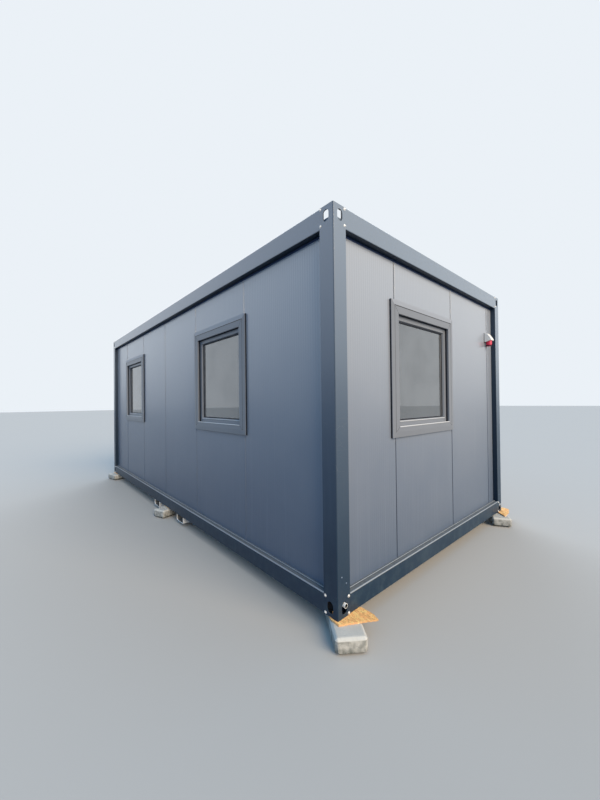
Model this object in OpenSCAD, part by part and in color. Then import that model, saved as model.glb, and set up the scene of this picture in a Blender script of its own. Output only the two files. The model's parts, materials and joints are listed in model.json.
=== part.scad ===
// Portable site cabin: a folded steel frame on hollow corner boxes, filled
// with flat wall panels, standing on concrete blocks and timber shims.
// Millimetres, +Z up. X is the long way, the near long wall faces -Y and the
// windowed end faces +X. The origin is the middle of the footprint at the ground.
// Distances along a wall are measured from the wall's first corner post.

/* [Frame] */
// Length of the frame along X
frame_length = 6055; // [5000:1:7000]
// Width of the frame along Y
frame_width = 3020; // [2300:1:3500]
// Height of the frame from its underside to its top
frame_height = 2630; // [2400:1:3000]
// Height of the frame's underside above the ground
ground_clearance = 114; // [60:1:400]
// Width of a corner post and of a corner box on each face
post_width = 120; // [80:1:200]
// Wall thickness of the folded posts and rails
fold_thickness = 4; // [2:0.5:8]
// Outside radius of the folded edges
fold_radius = 8; // [2:0.5:20]
// Height of the bottom rails and bottom corner boxes
bottom_rail_height = 133; // [90:1:220]
// Height of the top rails and top corner boxes
top_rail_height = 143; // [90:1:220]
// Depth of the rail flanges that carry the wall panels
carrying_flange_depth = 140; // [80:1:220]
// Depth of the bottom rails' lowest flange
bottom_flange_depth = 80; // [30:1:150]
// Depth of the flange round the very top
top_flange_depth = 35; // [15:1:100]

/* [Corner boxes] */
// Wall thickness of a corner box
box_wall = 6; // [3:0.5:12]
// Width of the lifting slots in a corner box
slot_width = 50; // [30:1:70]
// Height of the lifting slots in a corner box
slot_height = 76; // [40:1:100]
// Middle of the slots from the outer corner
slot_offset = 64; // [45:1:75]
// Middle of the bottom slots above the frame's underside
bottom_slot_level = 60; // [45:1:90]
// Middle of the top slots below the frame's top
top_slot_drop = 66; // [45:1:90]
// Diameter of the locking holes in the bottom plates
locking_hole = 64; // [30:1:90]

/* [Wall panels] */
// Thickness of a wall panel
panel_thickness = 60; // [40:1:120]
// Depth of the panel faces behind the frame's faces
panel_recess = 50; // [10:1:90]
// Bevel along the two upright edges of a panel
panel_edge_bevel = 3; // [0.5:0.5:10]
// Height of the dark channel over the panels
head_channel_height = 18; // [5:1:60]
// Height of the flashing under the panels
base_flashing_height = 5; // [2:1:30]
// Depth of the flashing in front of the panels
base_flashing_reach = 14; // [2:1:40]

/* [Windows] */
// Height of a window surround
surround_height = 1086; // [700:1:1400]
// Lower edge of the surrounds above the frame's underside
surround_level = 1081; // [700:1:1400]
// Width of panel left beside the first long window, on the first post's side
long_window_1_near_strip = 29; // [5:1:100]
// Width of panel left beside the first long window, on its other side
long_window_1_far_strip = 76; // [5:1:100]
// Width of panel left beside the second long window, on the first post's side
long_window_2_near_strip = 27; // [5:1:100]
// Width of panel left beside the second long window, on its other side
long_window_2_far_strip = 36; // [5:1:100]
// Width of panel left beside the end window, on the first post's side
end_window_near_strip = 8; // [5:1:100]
// Width of panel left beside the end window, on its other side
end_window_far_strip = 73; // [5:1:100]
// Width of the sides of a surround
surround_side = 97; // [40:1:160]
// Width of the top of a surround
surround_head = 104; // [40:1:160]
// Width of the foot of a surround
surround_foot = 82; // [40:1:160]
// Distance of a surround's face in front of the panel
surround_reach = 22; // [5:1:50]
// Thickness of the cover plate of a surround at its edge
cover_plate = 5; // [2:0.5:12]
// Width of the bevel round a cover plate
cover_bevel = 43; // [10:1:70]
// Drop of the bevel from the fold to the outer edge
cover_bevel_drop = 4; // [1:0.5:12]
// Width of the dark seal behind the cover plate
seal_width = 15; // [6:1:40]
// Setback of the seal from the cover plate's edge
seal_setback = 1; // [0:0.5:6]
// Width of the sash that shows inside the surround
sash_width = 40; // [20:1:90]
// Depth of the sash face behind the panel face
sash_depth = 8; // [0:1:40]
// Depth of the glass behind the sash face
glass_depth = 17; // [5:1:40]
// Width of the glazing bevel round the glass
bead_bevel = 9; // [2:0.5:25]
// Width of the window frame hidden behind the surround
frame_overlap = 26; // [8:1:60]
// Thickness of the double glazing
glass_thickness = 24; // [6:1:40]

/* [Door in the far long wall] */
// Width of wall panel left on each side of the door opening
door_side_panel = 56; // [20:1:150]
// Height of wall panel left over the door opening
door_head_panel = 316; // [150:1:500]
// Width of the door frame on each side
door_frame_width = 45; // [20:1:80]
// Thickness of the door leaf
door_leaf_thickness = 45; // [30:1:60]
// Depth of the leaf's face behind the panel face
door_leaf_depth = 6; // [0:1:15]
// Height of the door handle above the floor
door_handle_level = 1050; // [900:1:1200]
// Length of the handle's lever
door_handle_length = 130; // [80:1:200]
// Diameter of the handle's lever
door_handle_diameter = 20; // [12:1:30]
// Distance of the lever's spindle from the leaf's edge
door_handle_inset = 60; // [40:1:90]
// Diameter of the round plates behind the lever and round the lock
door_handle_rose = 52; // [40:1:70]
// Distance of the lock below the lever
door_lock_drop = 72; // [60:1:120]
// Height of a door hinge
door_hinge_height = 100; // [50:1:160]
// Diameter of a door hinge
door_hinge_diameter = 18; // [10:1:30]

/* [Floor and roof] */
// Thickness of the floor board
floor_board_thickness = 22; // [12:1:40]
// Thickness of the sheet under the floor
underfloor_sheet_thickness = 2; // [0.5:0.5:6]
// Number of floor joists
joist_count = 9; // [3:1:15]
// Width of a floor joist or roof purlin
joist_width = 45; // [30:1:90]
// Wall thickness of a joist or purlin
joist_wall = 3; // [1.5:0.5:6]
// Height of a roof purlin
purlin_height = 96; // [60:1:120]
// Number of roof purlins
purlin_count = 7; // [3:1:13]
// Width of the gutters between the roof sheet and the frame's outer faces
gutter_width = 90; // [50:1:115]
// Thickness of the roof sheet
roof_sheet_thickness = 3; // [0.5:0.5:6]
// Height of the folded seams of the roof sheet
roof_seam_height = 22; // [5:1:40]
// Width of a folded seam of the roof sheet
roof_seam_width = 14; // [5:1:40]
// Number of folded seams
roof_seam_count = 9; // [3:1:15]
// Thickness of the ceiling lining
ceiling_thickness = 12; // [6:1:25]

/* [Fork pockets] */
// Width of a fork pocket strap
pocket_width = 200; // [150:1:360]
// Depth of a fork pocket below the frame
pocket_depth = 74; // [50:1:120]
// Thickness of the fork pocket straps
pocket_wall = 5; // [3:0.5:10]
// Inside radius of the fork pocket's lower bends
pocket_bend = 30; // [5:1:60]
// Distance between the middles of the two fork pockets
pocket_spacing = 845; // [700:1:1200]
// Middle of the pair of fork pockets from the middle of the frame
pocket_shift = 33; // [-200:1:200]

/* [Power inlet and drain] */
// Width of the power inlet housing
inlet_width = 96; // [60:1:140]
// Distance of the power inlet from the end wall's far post
inlet_post_gap = 130; // [40:1:400]
// Height of the power inlet housing
inlet_height = 108; // [70:1:180]
// Distance of the housing's top below the frame's top
inlet_drop = 469; // [250:1:900]
// Distance the inlet housing stands out of the panel
inlet_reach = 72; // [40:1:110]
// Diameter of the inlet's red collar
inlet_lid_diameter = 62; // [40:1:90]
// Length of the inlet's red collar with its lid
inlet_lid_length = 56; // [20:1:100]
// Outer diameter of the drain pipes in the posts
drain_diameter = 30; // [20:1:50]
// Wall thickness of the drain pipes
drain_wall = 3; // [1:0.5:6]
// Middle of a drain pipe from the corner's outer faces
drain_offset = 64; // [50:1:75]
// Level of a drain outlet above the frame's underside
drain_level = 80; // [40:1:100]
// Length of a drain outlet in front of the frame's face
drain_spout = 14; // [2:1:40]

/* [Blocks and shims] */
// Thickness of a timber shim
shim_thickness = 12; // [5:1:50]
// Length of a concrete block
block_length = 390; // [180:1:600]
// Width of a concrete block
block_width = 200; // [120:1:400]
// Bevel along the worn upper and upright edges of a block
block_bevel = 15; // [4:1:40]
// Size of a timber shim, which its outline's shares multiply
shim_size = 250; // [100:1:400]

/* [Hidden] */
half_length = frame_length / 2;
half_width = frame_width / 2;
base = ground_clearance;
top = base + frame_height;
post_low = base + bottom_rail_height;
post_high = top - top_rail_height;
panel_low = post_low + base_flashing_height;
panel_high = post_high - head_channel_height;
panel_back = panel_recess + panel_thickness;
floor_top = post_low - fold_thickness;
long_end = frame_length - post_width;
end_end = frame_width - post_width;
block_height = ground_clearance - shim_thickness;
overrun = fold_thickness;   // how far a cut passes a face
surround_low = base + surround_level;
plate_edge = surround_reach - cover_bevel_drop;
sash_face = panel_recess + sash_depth;
glass_face = sash_face + glass_depth;
// joints of the wall panels, as shares of the frame's length and width
long_joint_shares = [0.18893, 0.3602, 0.52733, 0.691, 0.85533];
end_joint_shares = [0.24901, 0.58444, 0.90728];
// upright edges of all the panels of a long wall and of an end wall
long_edges = concat([post_width], long_joint_shares * frame_length, [long_end]);
end_edges = concat([post_width], end_joint_shares * frame_width, [end_end]);
// a window's opening is what its panel's two strips leave, and its surround laps over them
surround_lap = surround_side - frame_overlap;
function surround_span(edges, i, near, far) =
    [edges[i] + near - surround_lap, edges[i + 1] - far + surround_lap];
long_window_1 = surround_span(long_edges, 1, long_window_1_near_strip, long_window_1_far_strip);
long_window_2 = surround_span(long_edges, 4, long_window_2_near_strip, long_window_2_far_strip);
end_window = surround_span(end_edges, 1, end_window_near_strip, end_window_far_strip);
door_start = long_edges[2] + door_side_panel;
door_width = long_edges[3] - long_edges[2] - 2 * door_side_panel;
door_top = panel_high - door_head_panel;
inlet_start = end_end - inlet_post_gap - inlet_width;
inlet_low = top - inlet_drop - inlet_height;

// walls as places: x along the wall, y into it, z up
module front_wall() translate([half_length, -half_width, 0]) mirror([1, 0, 0]) children();
module right_wall() translate([half_length, -half_width, 0]) rotate([0, 0, 90]) children();
module back_wall() rotate([0, 0, 180]) front_wall() children();
module left_wall() rotate([0, 0, 180]) right_wall() children();
module all_walls() { front_wall() children(); back_wall() children();
    right_wall() children(); left_wall() children(); }
module both_long() { front_wall() children(); back_wall() children(); }
module both_ends() { right_wall() children(); left_wall() children(); }
// a shape of (depth, height) run along a wall from x = from to x = to
module run(from, to) translate([from, 0, 0]) rotate([90, 0, 90]) linear_extrude(to - from) children();
// each of the four corners, turned so that x and y run inward from the outer corner
module four_corners() {
    for (side = [1, -1], end = [1, -1]) {
        translate([end * half_length, side * half_width, 0])
            mirror([end > 0 ? 1 : 0, 0, 0]) mirror([0, side > 0 ? 1 : 0, 0]) children();
    }
}
// a slab in wall coordinates
module slab(x0, x1, y0, y1, z0, z1) translate([x0, y0, z0]) cube([x1 - x0, y1 - y0, z1 - z0]);

// folded profiles
module rounded_sheet(w, h, r) {
    translate([r, 0]) square([w - r, h]);
    translate([0, r]) square([w, h - 2 * r]);
    translate([r, r]) circle(r, $fn = 48);
    translate([r, h - r]) circle(r, $fn = 48);
}
// channel with its web at depth 0; low and high are the flange depths
module channel(h, low, high, t, r) {
    difference() {
        rounded_sheet(max(low, high), h, r);
        translate([t, t]) square([max(low, high), h - 2 * t]);
        translate([low, -t]) square([max(low, high), h / 2]);
        translate([high, h / 2]) square([max(low, high), h]);
    }
}
module bottom_profile() channel(bottom_rail_height, bottom_flange_depth, carrying_flange_depth,
    fold_thickness, fold_radius);
module top_profile() channel(top_rail_height, carrying_flange_depth, top_flange_depth,
    fold_thickness, fold_radius);

// frame
module bottom_side_rails() color("#39434c") both_long()
    translate([0, 0, base]) run(post_width, long_end) bottom_profile();
module bottom_end_rails() color("#39434c") both_ends()
    translate([0, 0, base]) run(post_width, end_end) difference() {
        bottom_profile();
        translate([post_width, 0]) square([carrying_flange_depth, bottom_rail_height]);
    }
module top_side_rails() color("#39434c") both_long()
    translate([0, 0, post_high]) run(post_width, long_end) top_profile();
module top_end_rails() color("#39434c") both_ends()
    translate([0, 0, post_high]) run(post_width, end_end) difference() {
        top_profile();
        translate([post_width, 0]) square([carrying_flange_depth, top_rail_height]);
    }

// slot as a cutting bar through a wall, standing upright
module slot_cut() {
    rise = (slot_height - slot_width) / 2;
    for (z = [-rise, rise]) translate([0, -overrun, z]) rotate([-90, 0, 0])
        cylinder(d = slot_width, h = box_wall + 2 * overrun, $fn = 48);
    translate([-slot_width / 2, -overrun, -rise]) cube([slot_width, box_wall + 2 * overrun, 2 * rise]);
}
// round hole through a plate of a corner box that lies at z = level
module plate_hole(offset, level, d) translate([offset, offset, level - overrun])
    cylinder(d = d, h = box_wall + 2 * overrun, $fn = 64);
module corner_box(height, slot_level) difference() {
    linear_extrude(height) corner_outline(fold_radius);
    translate([box_wall, box_wall, box_wall])
        cube([post_width - 2 * box_wall, post_width - 2 * box_wall, height - 2 * box_wall]);
    translate([slot_offset, 0, slot_level]) slot_cut();
    translate([0, slot_offset, slot_level]) mirror([1, -1, 0]) slot_cut();
}
// square of a post with its outer corner rounded
module corner_outline(r) {
    translate([r, 0]) square([post_width - r, post_width]);
    translate([0, r]) square([post_width, post_width - r]);
    translate([r, r]) circle(r, $fn = 48);
}
module bottom_corners() color("#333d46") four_corners() translate([0, 0, base]) difference() {
    corner_box(bottom_rail_height, bottom_slot_level);
    plate_hole(slot_offset, 0, locking_hole);
    plate_hole(drain_offset, bottom_rail_height - box_wall, drain_diameter);
}
// a top box has a flange round its top like the rails, and is open inward to the gutters
module top_corners() color("#333d46") four_corners() translate([0, 0, post_high]) difference() {
    corner_box(top_rail_height, top_rail_height - top_slot_drop);
    plate_hole(drain_offset, 0, drain_diameter);
    translate([top_flange_depth, top_flange_depth, box_wall])
        cube([post_width, post_width, top_rail_height]);
}
module corner_posts() color("#39434c") four_corners() translate([0, 0, post_low])
    linear_extrude(post_high - post_low) difference() {
        corner_outline(fold_radius);
        translate([fold_thickness, fold_thickness])
            square(post_width - 2 * fold_thickness);
    }

// floor
inner_y = half_width - fold_thickness;
module joist_profile(h) difference() {
    square([joist_width, h]);
    translate([joist_wall, joist_wall]) square([joist_width, h - 2 * joist_wall]);
}
joist_low = base + fold_thickness + underfloor_sheet_thickness;
joist_high = floor_top - floor_board_thickness;
joist_span = frame_length - 2 * post_width - 2 * joist_width;
module floor_joists() color("#8c9196") for (i = [0 : joist_count - 1])
    translate([-joist_span / 2 - joist_width / 2 + i * joist_span / (joist_count - 1), inner_y, joist_low])
        rotate([90, 0, 0]) linear_extrude(2 * inner_y) joist_profile(joist_high - joist_low);
// rectangle of the whole frame less a margin, with a square cut away at each corner
module deck_outline(margin, corner) difference() {
    translate([-half_length + margin, -half_width + margin])
        square([frame_length - 2 * margin, frame_width - 2 * margin]);
    for (a = [1, -1], b = [1, -1])
        translate([a * half_length - (a > 0 ? corner : 0), b * half_width - (b > 0 ? corner : 0)])
            square(corner);
}
module underfloor_sheet() color("#9aa0a4") translate([0, 0, base + fold_thickness])
    linear_extrude(underfloor_sheet_thickness) deck_outline(fold_thickness, post_width);
module floor_board() color("#9b9488") translate([0, 0, joist_high])
    linear_extrude(floor_board_thickness) deck_outline(fold_thickness, post_width);

// roof
purlin_low = post_high + fold_thickness;
roof_low = purlin_low + purlin_height;
purlin_y = half_width - gutter_width - roof_sheet_thickness;
module roof_purlins() color("#8c9196") for (i = [0 : purlin_count - 1])
    translate([-joist_span / 2 - joist_width / 2 + i * joist_span / (purlin_count - 1), purlin_y, purlin_low])
        rotate([90, 0, 0]) linear_extrude(2 * purlin_y) joist_profile(purlin_height);
// the roof sheet ends at the gutters, where it is turned down onto the rails' lower flanges
module roof_deck() color("#a5abaf") {
    difference() {
        translate([0, 0, purlin_low]) linear_extrude(purlin_height + roof_sheet_thickness)
            deck_outline(gutter_width, post_width);
        translate([0, 0, purlin_low - overrun]) linear_extrude(purlin_height + overrun)
            deck_outline(gutter_width + roof_sheet_thickness, post_width + roof_sheet_thickness);
    }
    for (i = [0 : roof_seam_count - 1])
        translate([-joist_span / 2 - roof_seam_width / 2 + i * joist_span / (roof_seam_count - 1),
            -half_width + post_width, roof_low + roof_sheet_thickness])
            cube([roof_seam_width, frame_width - 2 * post_width, roof_seam_height]);
}
module ceiling_lining() color("#d9dad7") translate([0, 0, post_high - ceiling_thickness])
    linear_extrude(ceiling_thickness) deck_outline(panel_back, post_width);

// walls
// panel from x = from to x = to, with bevelled upright edges on its outer face
module panel(from, to) translate([0, 0, panel_low]) linear_extrude(panel_high - panel_low)
    polygon([[from, panel_recess + panel_edge_bevel], [from + panel_edge_bevel, panel_recess],
        [to - panel_edge_bevel, panel_recess], [to, panel_recess + panel_edge_bevel],
        [to, panel_back], [from, panel_back]]);
module window_hole(w) slab(w[0] + surround_lap, w[1] - surround_lap, 0, frame_width / 2,
    surround_low + surround_foot - frame_overlap,
    surround_low + surround_height - surround_head + frame_overlap);
module long_panel(i) panel(long_edges[i], long_edges[i + 1]);
module end_panel(i) panel(end_edges[i], end_edges[i + 1]);
// every panel of a wall is cut by every opening of that wall
module front_panel(i) color("#5f7081") front_wall() difference() {
    long_panel(i);
    window_hole(long_window_1);
    window_hole(long_window_2);
}
module front_panel_1() front_panel(0);
module front_panel_2() front_panel(1);
module front_panel_3() front_panel(2);
module front_panel_4() front_panel(3);
module front_panel_5() front_panel(4);
module front_panel_6() front_panel(5);
module right_panel(i) color("#5f7081") right_wall() difference() {
    end_panel(i);
    window_hole(end_window);
}
module right_panel_1() right_panel(0);
module right_panel_2() right_panel(1);
module right_panel_3() right_panel(2);
module right_panel_4() right_panel(3);
module door_hole() slab(door_start, door_start + door_width, 0, frame_width / 2,
    post_low, door_top);
module back_panels() color("#5f7081") back_wall() difference() {
    for (i = [0, 1, 3, 4, 5]) long_panel(i);
    door_hole();
}
module back_door_panel() color("#5f7081") back_wall() difference() {
    long_panel(2);
    door_hole();
}
module left_panels() color("#5f7081") left_wall() for (i = [0 : 3]) end_panel(i);
module base_flashing() color("#4b5966") {
    difference() {
        both_long() slab(post_width, long_end, panel_recess - base_flashing_reach, panel_back,
            post_low, panel_low);
        back_wall() door_hole();
    }
    both_ends() slab(post_width, end_end, panel_recess - base_flashing_reach, panel_back,
        post_low, panel_low);
}
module head_channel() color("#161b20") {
    both_long() slab(post_width, long_end, panel_recess, panel_back, panel_high, post_high);
    both_ends() slab(post_width, end_end, panel_recess, panel_back, panel_high, post_high);
}

// windows
// frustum in wall coordinates: small face at y0, large face at y1, spread by grow on each side
module spread_block(x0, x1, z0, z1, y0, y1, grow) intersection() {
    translate([0, 0, z0 - grow]) linear_extrude(z1 - z0 + 2 * grow)
        polygon([[x0, y0], [x1, y0], [x1 + grow, y1], [x0 - grow, y1]]);
    run(x0 - grow, x1 + grow) polygon([[y0, z0], [y0, z1], [y1, z1 + grow], [y1, z0 - grow]]);
}
// plate from y = face to y = back, bevelled all round from its face to y = edge
module bevelled_plate(x0, x1, z0, z1, face, edge, back, bevel) intersection() {
    translate([0, 0, z0]) linear_extrude(z1 - z0) polygon([[x0 + bevel, face],
        [x1 - bevel, face], [x1, edge], [x1, back], [x0, back], [x0, edge]]);
    run(x0, x1) polygon([[face, z0 + bevel], [face, z1 - bevel], [edge, z1], [back, z1],
        [back, z0], [edge, z0]]);
}
// each window module takes the span of its surround along the wall
module surround(w) {
    x0 = w[0]; x1 = w[1];
    z0 = surround_low; z1 = surround_low + surround_height;
    edge = panel_recess - plate_edge;
    inset = seal_setback + seal_width;
    difference() {
        union() {
            bevelled_plate(x0, x1, z0, z1, panel_recess - surround_reach, edge,
                edge + cover_plate, cover_bevel);
            slab(x0 + inset, x1 - inset, edge, panel_recess, z0 + inset, z1 - inset);
        }
        slab(x0 + surround_side, x1 - surround_side, -overrun, panel_back,
            z0 + surround_foot, z1 - surround_head);
    }
}
module seal(w) difference() {
    slab(w[0] + seal_setback, w[1] - seal_setback,
        panel_recess - plate_edge + cover_plate, panel_recess,
        surround_low + seal_setback, surround_low + surround_height - seal_setback);
    slab(w[0] + seal_setback + seal_width, w[1] - seal_setback - seal_width,
        0, panel_back, surround_low + seal_setback + seal_width,
        surround_low + surround_height - seal_setback - seal_width);
}
module window_frame(w) {
    x0 = w[0] + surround_side; x1 = w[1] - surround_side;
    z0 = surround_low + surround_foot; z1 = surround_low + surround_height - surround_head;
    difference() {
        slab(x0 - frame_overlap, x1 + frame_overlap, panel_recess, panel_back,
            z0 - frame_overlap, z1 + frame_overlap);
        slab(x0, x1, 0, sash_face, z0, z1);
        slab(x0 + sash_width + bead_bevel, x1 - sash_width - bead_bevel, 0, frame_width / 2,
            z0 + sash_width + bead_bevel, z1 - sash_width - bead_bevel);
        mirror([0, 1, 0]) spread_block(x0 + sash_width + bead_bevel, x1 - sash_width - bead_bevel,
            z0 + sash_width + bead_bevel, z1 - sash_width - bead_bevel,
            -glass_face, -sash_face, bead_bevel);
    }
}
module glass(w) {
    x0 = w[0] + surround_side + sash_width + bead_bevel;
    x1 = w[1] - surround_side - sash_width - bead_bevel;
    slab(x0, x1, glass_face, glass_face + glass_thickness,
        surround_low + surround_foot + sash_width + bead_bevel,
        surround_low + surround_height - surround_head - sash_width - bead_bevel);
}
module front_surround_1() color("#64727f") front_wall() surround(long_window_1);
module front_surround_2() color("#64727f") front_wall() surround(long_window_2);
module right_surround() color("#64727f") right_wall() surround(end_window);
module window_seals() color("#14181c") {
    front_wall() { seal(long_window_1); seal(long_window_2); }
    right_wall() seal(end_window);
}
module front_window_frame_1() color("#606d79") front_wall() window_frame(long_window_1);
module front_window_frame_2() color("#606d79") front_wall() window_frame(long_window_2);
module right_window_frame() color("#606d79") right_wall() window_frame(end_window);
module window_glass() color("#2c343b") {
    front_wall() { glass(long_window_1); glass(long_window_2); }
    right_wall() glass(end_window);
}

// door
// levels of the door's hinges, as shares of the leaf's height
hinge_shares = [0.12, 0.5, 0.88];
module door_frame() color("#3b464f") back_wall() {
    difference() {
        slab(door_start, door_start + door_width, panel_recess, panel_back, post_low, door_top);
        slab(door_start + door_frame_width, door_start + door_width - door_frame_width, 0,
            frame_width / 2, panel_low, door_top - door_frame_width);
    }
    for (share = hinge_shares)
        translate([door_start + door_frame_width - door_hinge_diameter / 2, panel_recess,
            panel_low + share * (door_top - door_frame_width - panel_low) - door_hinge_height / 2])
            cylinder(d = door_hinge_diameter, h = door_hinge_height, $fn = 32);
}
module door_leaf() color("#55636f") back_wall()
    slab(door_start + door_frame_width, door_start + door_width - door_frame_width,
        panel_recess + door_leaf_depth, panel_recess + door_leaf_depth + door_leaf_thickness,
        panel_low, door_top - door_frame_width);
module door_handle() color("#9fa4a8") back_wall() {
    r = door_handle_diameter / 2;
    x = door_start + door_width - door_frame_width - door_handle_inset;
    translate([x, panel_recess + door_leaf_depth - 3 * r, post_low + door_handle_level]) {
        rotate([0, -90, 0]) cylinder(r = r, h = door_handle_length, $fn = 32);
        sphere(r = r, $fn = 32);
        rotate([-90, 0, 0]) cylinder(r = r, h = 3 * r, $fn = 32);
        for (z = [0, -door_lock_drop]) translate([0, 2 * r, z]) rotate([-90, 0, 0])
            cylinder(d = door_handle_rose, h = r, $fn = 48);
    }
}

// power inlet and drains
// outline of the inlet housing, as shares of its reach and height
inlet_shares = [[0, 1], [0.22, 1], [0.45, 0.93], [0.85, 0.52], [1, 0.32], [1, 0.2], [0, 0]];
inlet_points = [for (p = inlet_shares) [panel_recess - p[0] * inlet_reach, p[1] * inlet_height]];
module inlet_profile() polygon(inlet_points);
module inlet_housing() color("#b9bcb9") right_wall() translate([0, 0, inlet_low])
    run(inlet_start, inlet_start + inlet_width) inlet_profile();
// half outline of the collar and lid, as shares of the radius and of the length below the
// middle of the housing's lower slope
lid_shares = [[0, 0.3], [1, 0.3], [1, -0.62], [0.9, -0.65], [0.9, -0.76], [1.03, -0.79],
    [1.03, -0.95], [0.9, -1], [0, -1]];
// the collar hangs upright from the housing, which cuts its upper end to the slope
module inlet_lid() color("#a02a24") difference() {
    middle = (inlet_points[6] + inlet_points[5]) / 2;
    right_wall() translate([inlet_start + inlet_width / 2, middle[0], inlet_low + middle[1]])
        rotate_extrude($fn = 48) scale([inlet_lid_diameter / 2, inlet_lid_length])
            polygon(lid_shares);
    inlet_housing();
}
// pipe from the top box down the post, turned out through the end wall's slot
module drain_shape(d, past) {
    fall = base + drain_level;
    translate([drain_offset, drain_offset, fall]) {
        cylinder(d = d, h = post_high + box_wall - fall + past, $fn = 32);
        sphere(d = d, $fn = 32);
        rotate([0, -90, 0]) cylinder(d = d, h = drain_offset + drain_spout + past, $fn = 32);
    }
}
module drain_pipes() color("#b4b6b3") four_corners() difference() {
    drain_shape(drain_diameter, 0);
    drain_shape(drain_diameter - 2 * drain_wall, overrun);
}

// under the frame
// box open at the top, its lower corners rounded
module strap_space(w, h, r) {
    translate([r, 0]) square([w - 2 * r, h]);
    translate([0, r]) square([w, h - r]);
    for (x = [r, w - r]) translate([x, r]) circle(r, $fn = 48);
}
module fork_pockets() color("#a9adad") for (s = [-1, 1])
    translate([pocket_shift + s * pocket_spacing / 2 - pocket_width / 2, half_width, base - pocket_depth])
        rotate([90, 0, 0]) linear_extrude(frame_width) difference() {
            strap_space(pocket_width, pocket_depth, fold_radius);
            translate([pocket_wall, pocket_wall])
                strap_space(pocket_width - 2 * pocket_wall, pocket_depth, pocket_bend);
        }
// rectangle with its upper two corners bevelled, or all four
module worn_outline(w, h, c, low) polygon([[low, 0], [w - low, 0], [w, low], [w, h - c],
    [w - c, h], [c, h], [0, h - c], [0, low]]);
module block(turn, long) rotate([0, 0, turn]) translate([-long / 2, -block_width / 2, 0])
    intersection() {
        linear_extrude(block_height) worn_outline(long, block_width, block_bevel, block_bevel);
        run(0, long) worn_outline(block_width, block_height, block_bevel, 0);
        translate([0, block_width, 0]) rotate([90, 0, 0]) linear_extrude(block_width)
            worn_outline(long, block_height, block_bevel, 0);
    }
module placed_block(p) at_block(p) block(p[2], p[3] * block_length);
// shares of the frame's length and width, the turn, and the share of the full
// length of four blocks; the first two stand again half turned on the far side
block_shares = [[0.4968, -0.4721, -36.5, 1], [-0.0083, -0.4762, -70, 1],
    [-0.474, -0.4974, 12, 0.75], [0.4988, 0.4657, -60, 1]];
half_turned = [0, 1];
// outline shares of a broken piece of board, for each of those blocks
shim_shares = [
    [[0.16, -0.4], [0.42, 0.06], [0.7, 0.5], [0.49, 0.58], [0.11, 0.57], [-0.31, 0.38],
        [-0.31, -0.3], [-0.14, -0.38]],
    [[-0.28, -0.26], [0.4, -0.27], [0.44, 0.25], [-0.23, 0.27]],
    [[-0.55, -0.06], [0.2, -0.05], [0.16, 0.4], [-0.5, 0.36]],
    [[0.41, -0.38], [0.39, 0.31], [0.22, 0.86], [-0.08, 0.94], [-0.36, 0.38], [-0.32, 0.06],
        [0.03, -0.02]]];
module at_block(p) translate([p[0] * frame_length, p[1] * frame_width, 0]) children();
module one_shim(i) at_block(block_shares[i]) translate([0, 0, block_height])
    linear_extrude(shim_thickness) scale(shim_size) polygon(shim_shares[i]);
module support_blocks() color("#8d8a82") {
    for (p = block_shares) placed_block(p);
    for (i = half_turned) rotate([0, 0, 180]) placed_block(block_shares[i]);
}
module timber_shims() color("#b98a4f") {
    for (i = [0 : len(block_shares) - 1]) one_shim(i);
    for (i = half_turned) rotate([0, 0, 180]) one_shim(i);
}

bottom_side_rails();
bottom_end_rails();
bottom_corners();
corner_posts();
top_side_rails();
top_end_rails();
top_corners();
floor_joists();
underfloor_sheet();
floor_board();
roof_purlins();
roof_deck();
ceiling_lining();
base_flashing();
head_channel();
front_panel_1();
front_panel_2();
front_panel_3();
front_panel_4();
front_panel_5();
front_panel_6();
right_panel_1();
right_panel_2();
right_panel_3();
right_panel_4();
back_panels();
back_door_panel();
left_panels();
front_surround_1();
front_surround_2();
right_surround();
window_seals();
front_window_frame_1();
front_window_frame_2();
right_window_frame();
window_glass();
door_frame();
door_leaf();
door_handle();
inlet_housing();
inlet_lid();
drain_pipes();
fork_pockets();
support_blocks();
timber_shims();
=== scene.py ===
"""Looks of the portable site cabin: finishes for its frame, walls, windows and roof, and the
small pieces that its solids leave out, such as bolts, gaskets, worn blocks and broken boards.

Metres, +Z up, the long wall with two windows faces -Y and the end with one window faces +X.
Every size that a user would change is a property of one of the groups below.
"""

import json
import math
from typing import NamedTuple

import bmesh
import bpy
import numpy as np
from bpy.props import FloatProperty, FloatVectorProperty, IntProperty, PointerProperty
from mathutils import Matrix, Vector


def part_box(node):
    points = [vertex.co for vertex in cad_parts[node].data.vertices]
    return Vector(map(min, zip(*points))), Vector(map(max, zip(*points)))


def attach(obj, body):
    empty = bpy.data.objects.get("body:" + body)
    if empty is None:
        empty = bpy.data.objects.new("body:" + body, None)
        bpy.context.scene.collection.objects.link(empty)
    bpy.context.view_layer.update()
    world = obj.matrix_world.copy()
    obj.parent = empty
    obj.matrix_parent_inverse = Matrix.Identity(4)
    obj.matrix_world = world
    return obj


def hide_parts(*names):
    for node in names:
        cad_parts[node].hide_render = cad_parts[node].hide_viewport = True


bl_info = {
    "name": "Site cabin finishes",
    "version": (1, 0, 0),
    "blender": (4, 5, 0),
    "location": "3D View > Sidebar > Site cabin",
    "description": "Finishes and small pieces of a portable site cabin",
    "category": "Object",
}

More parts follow.
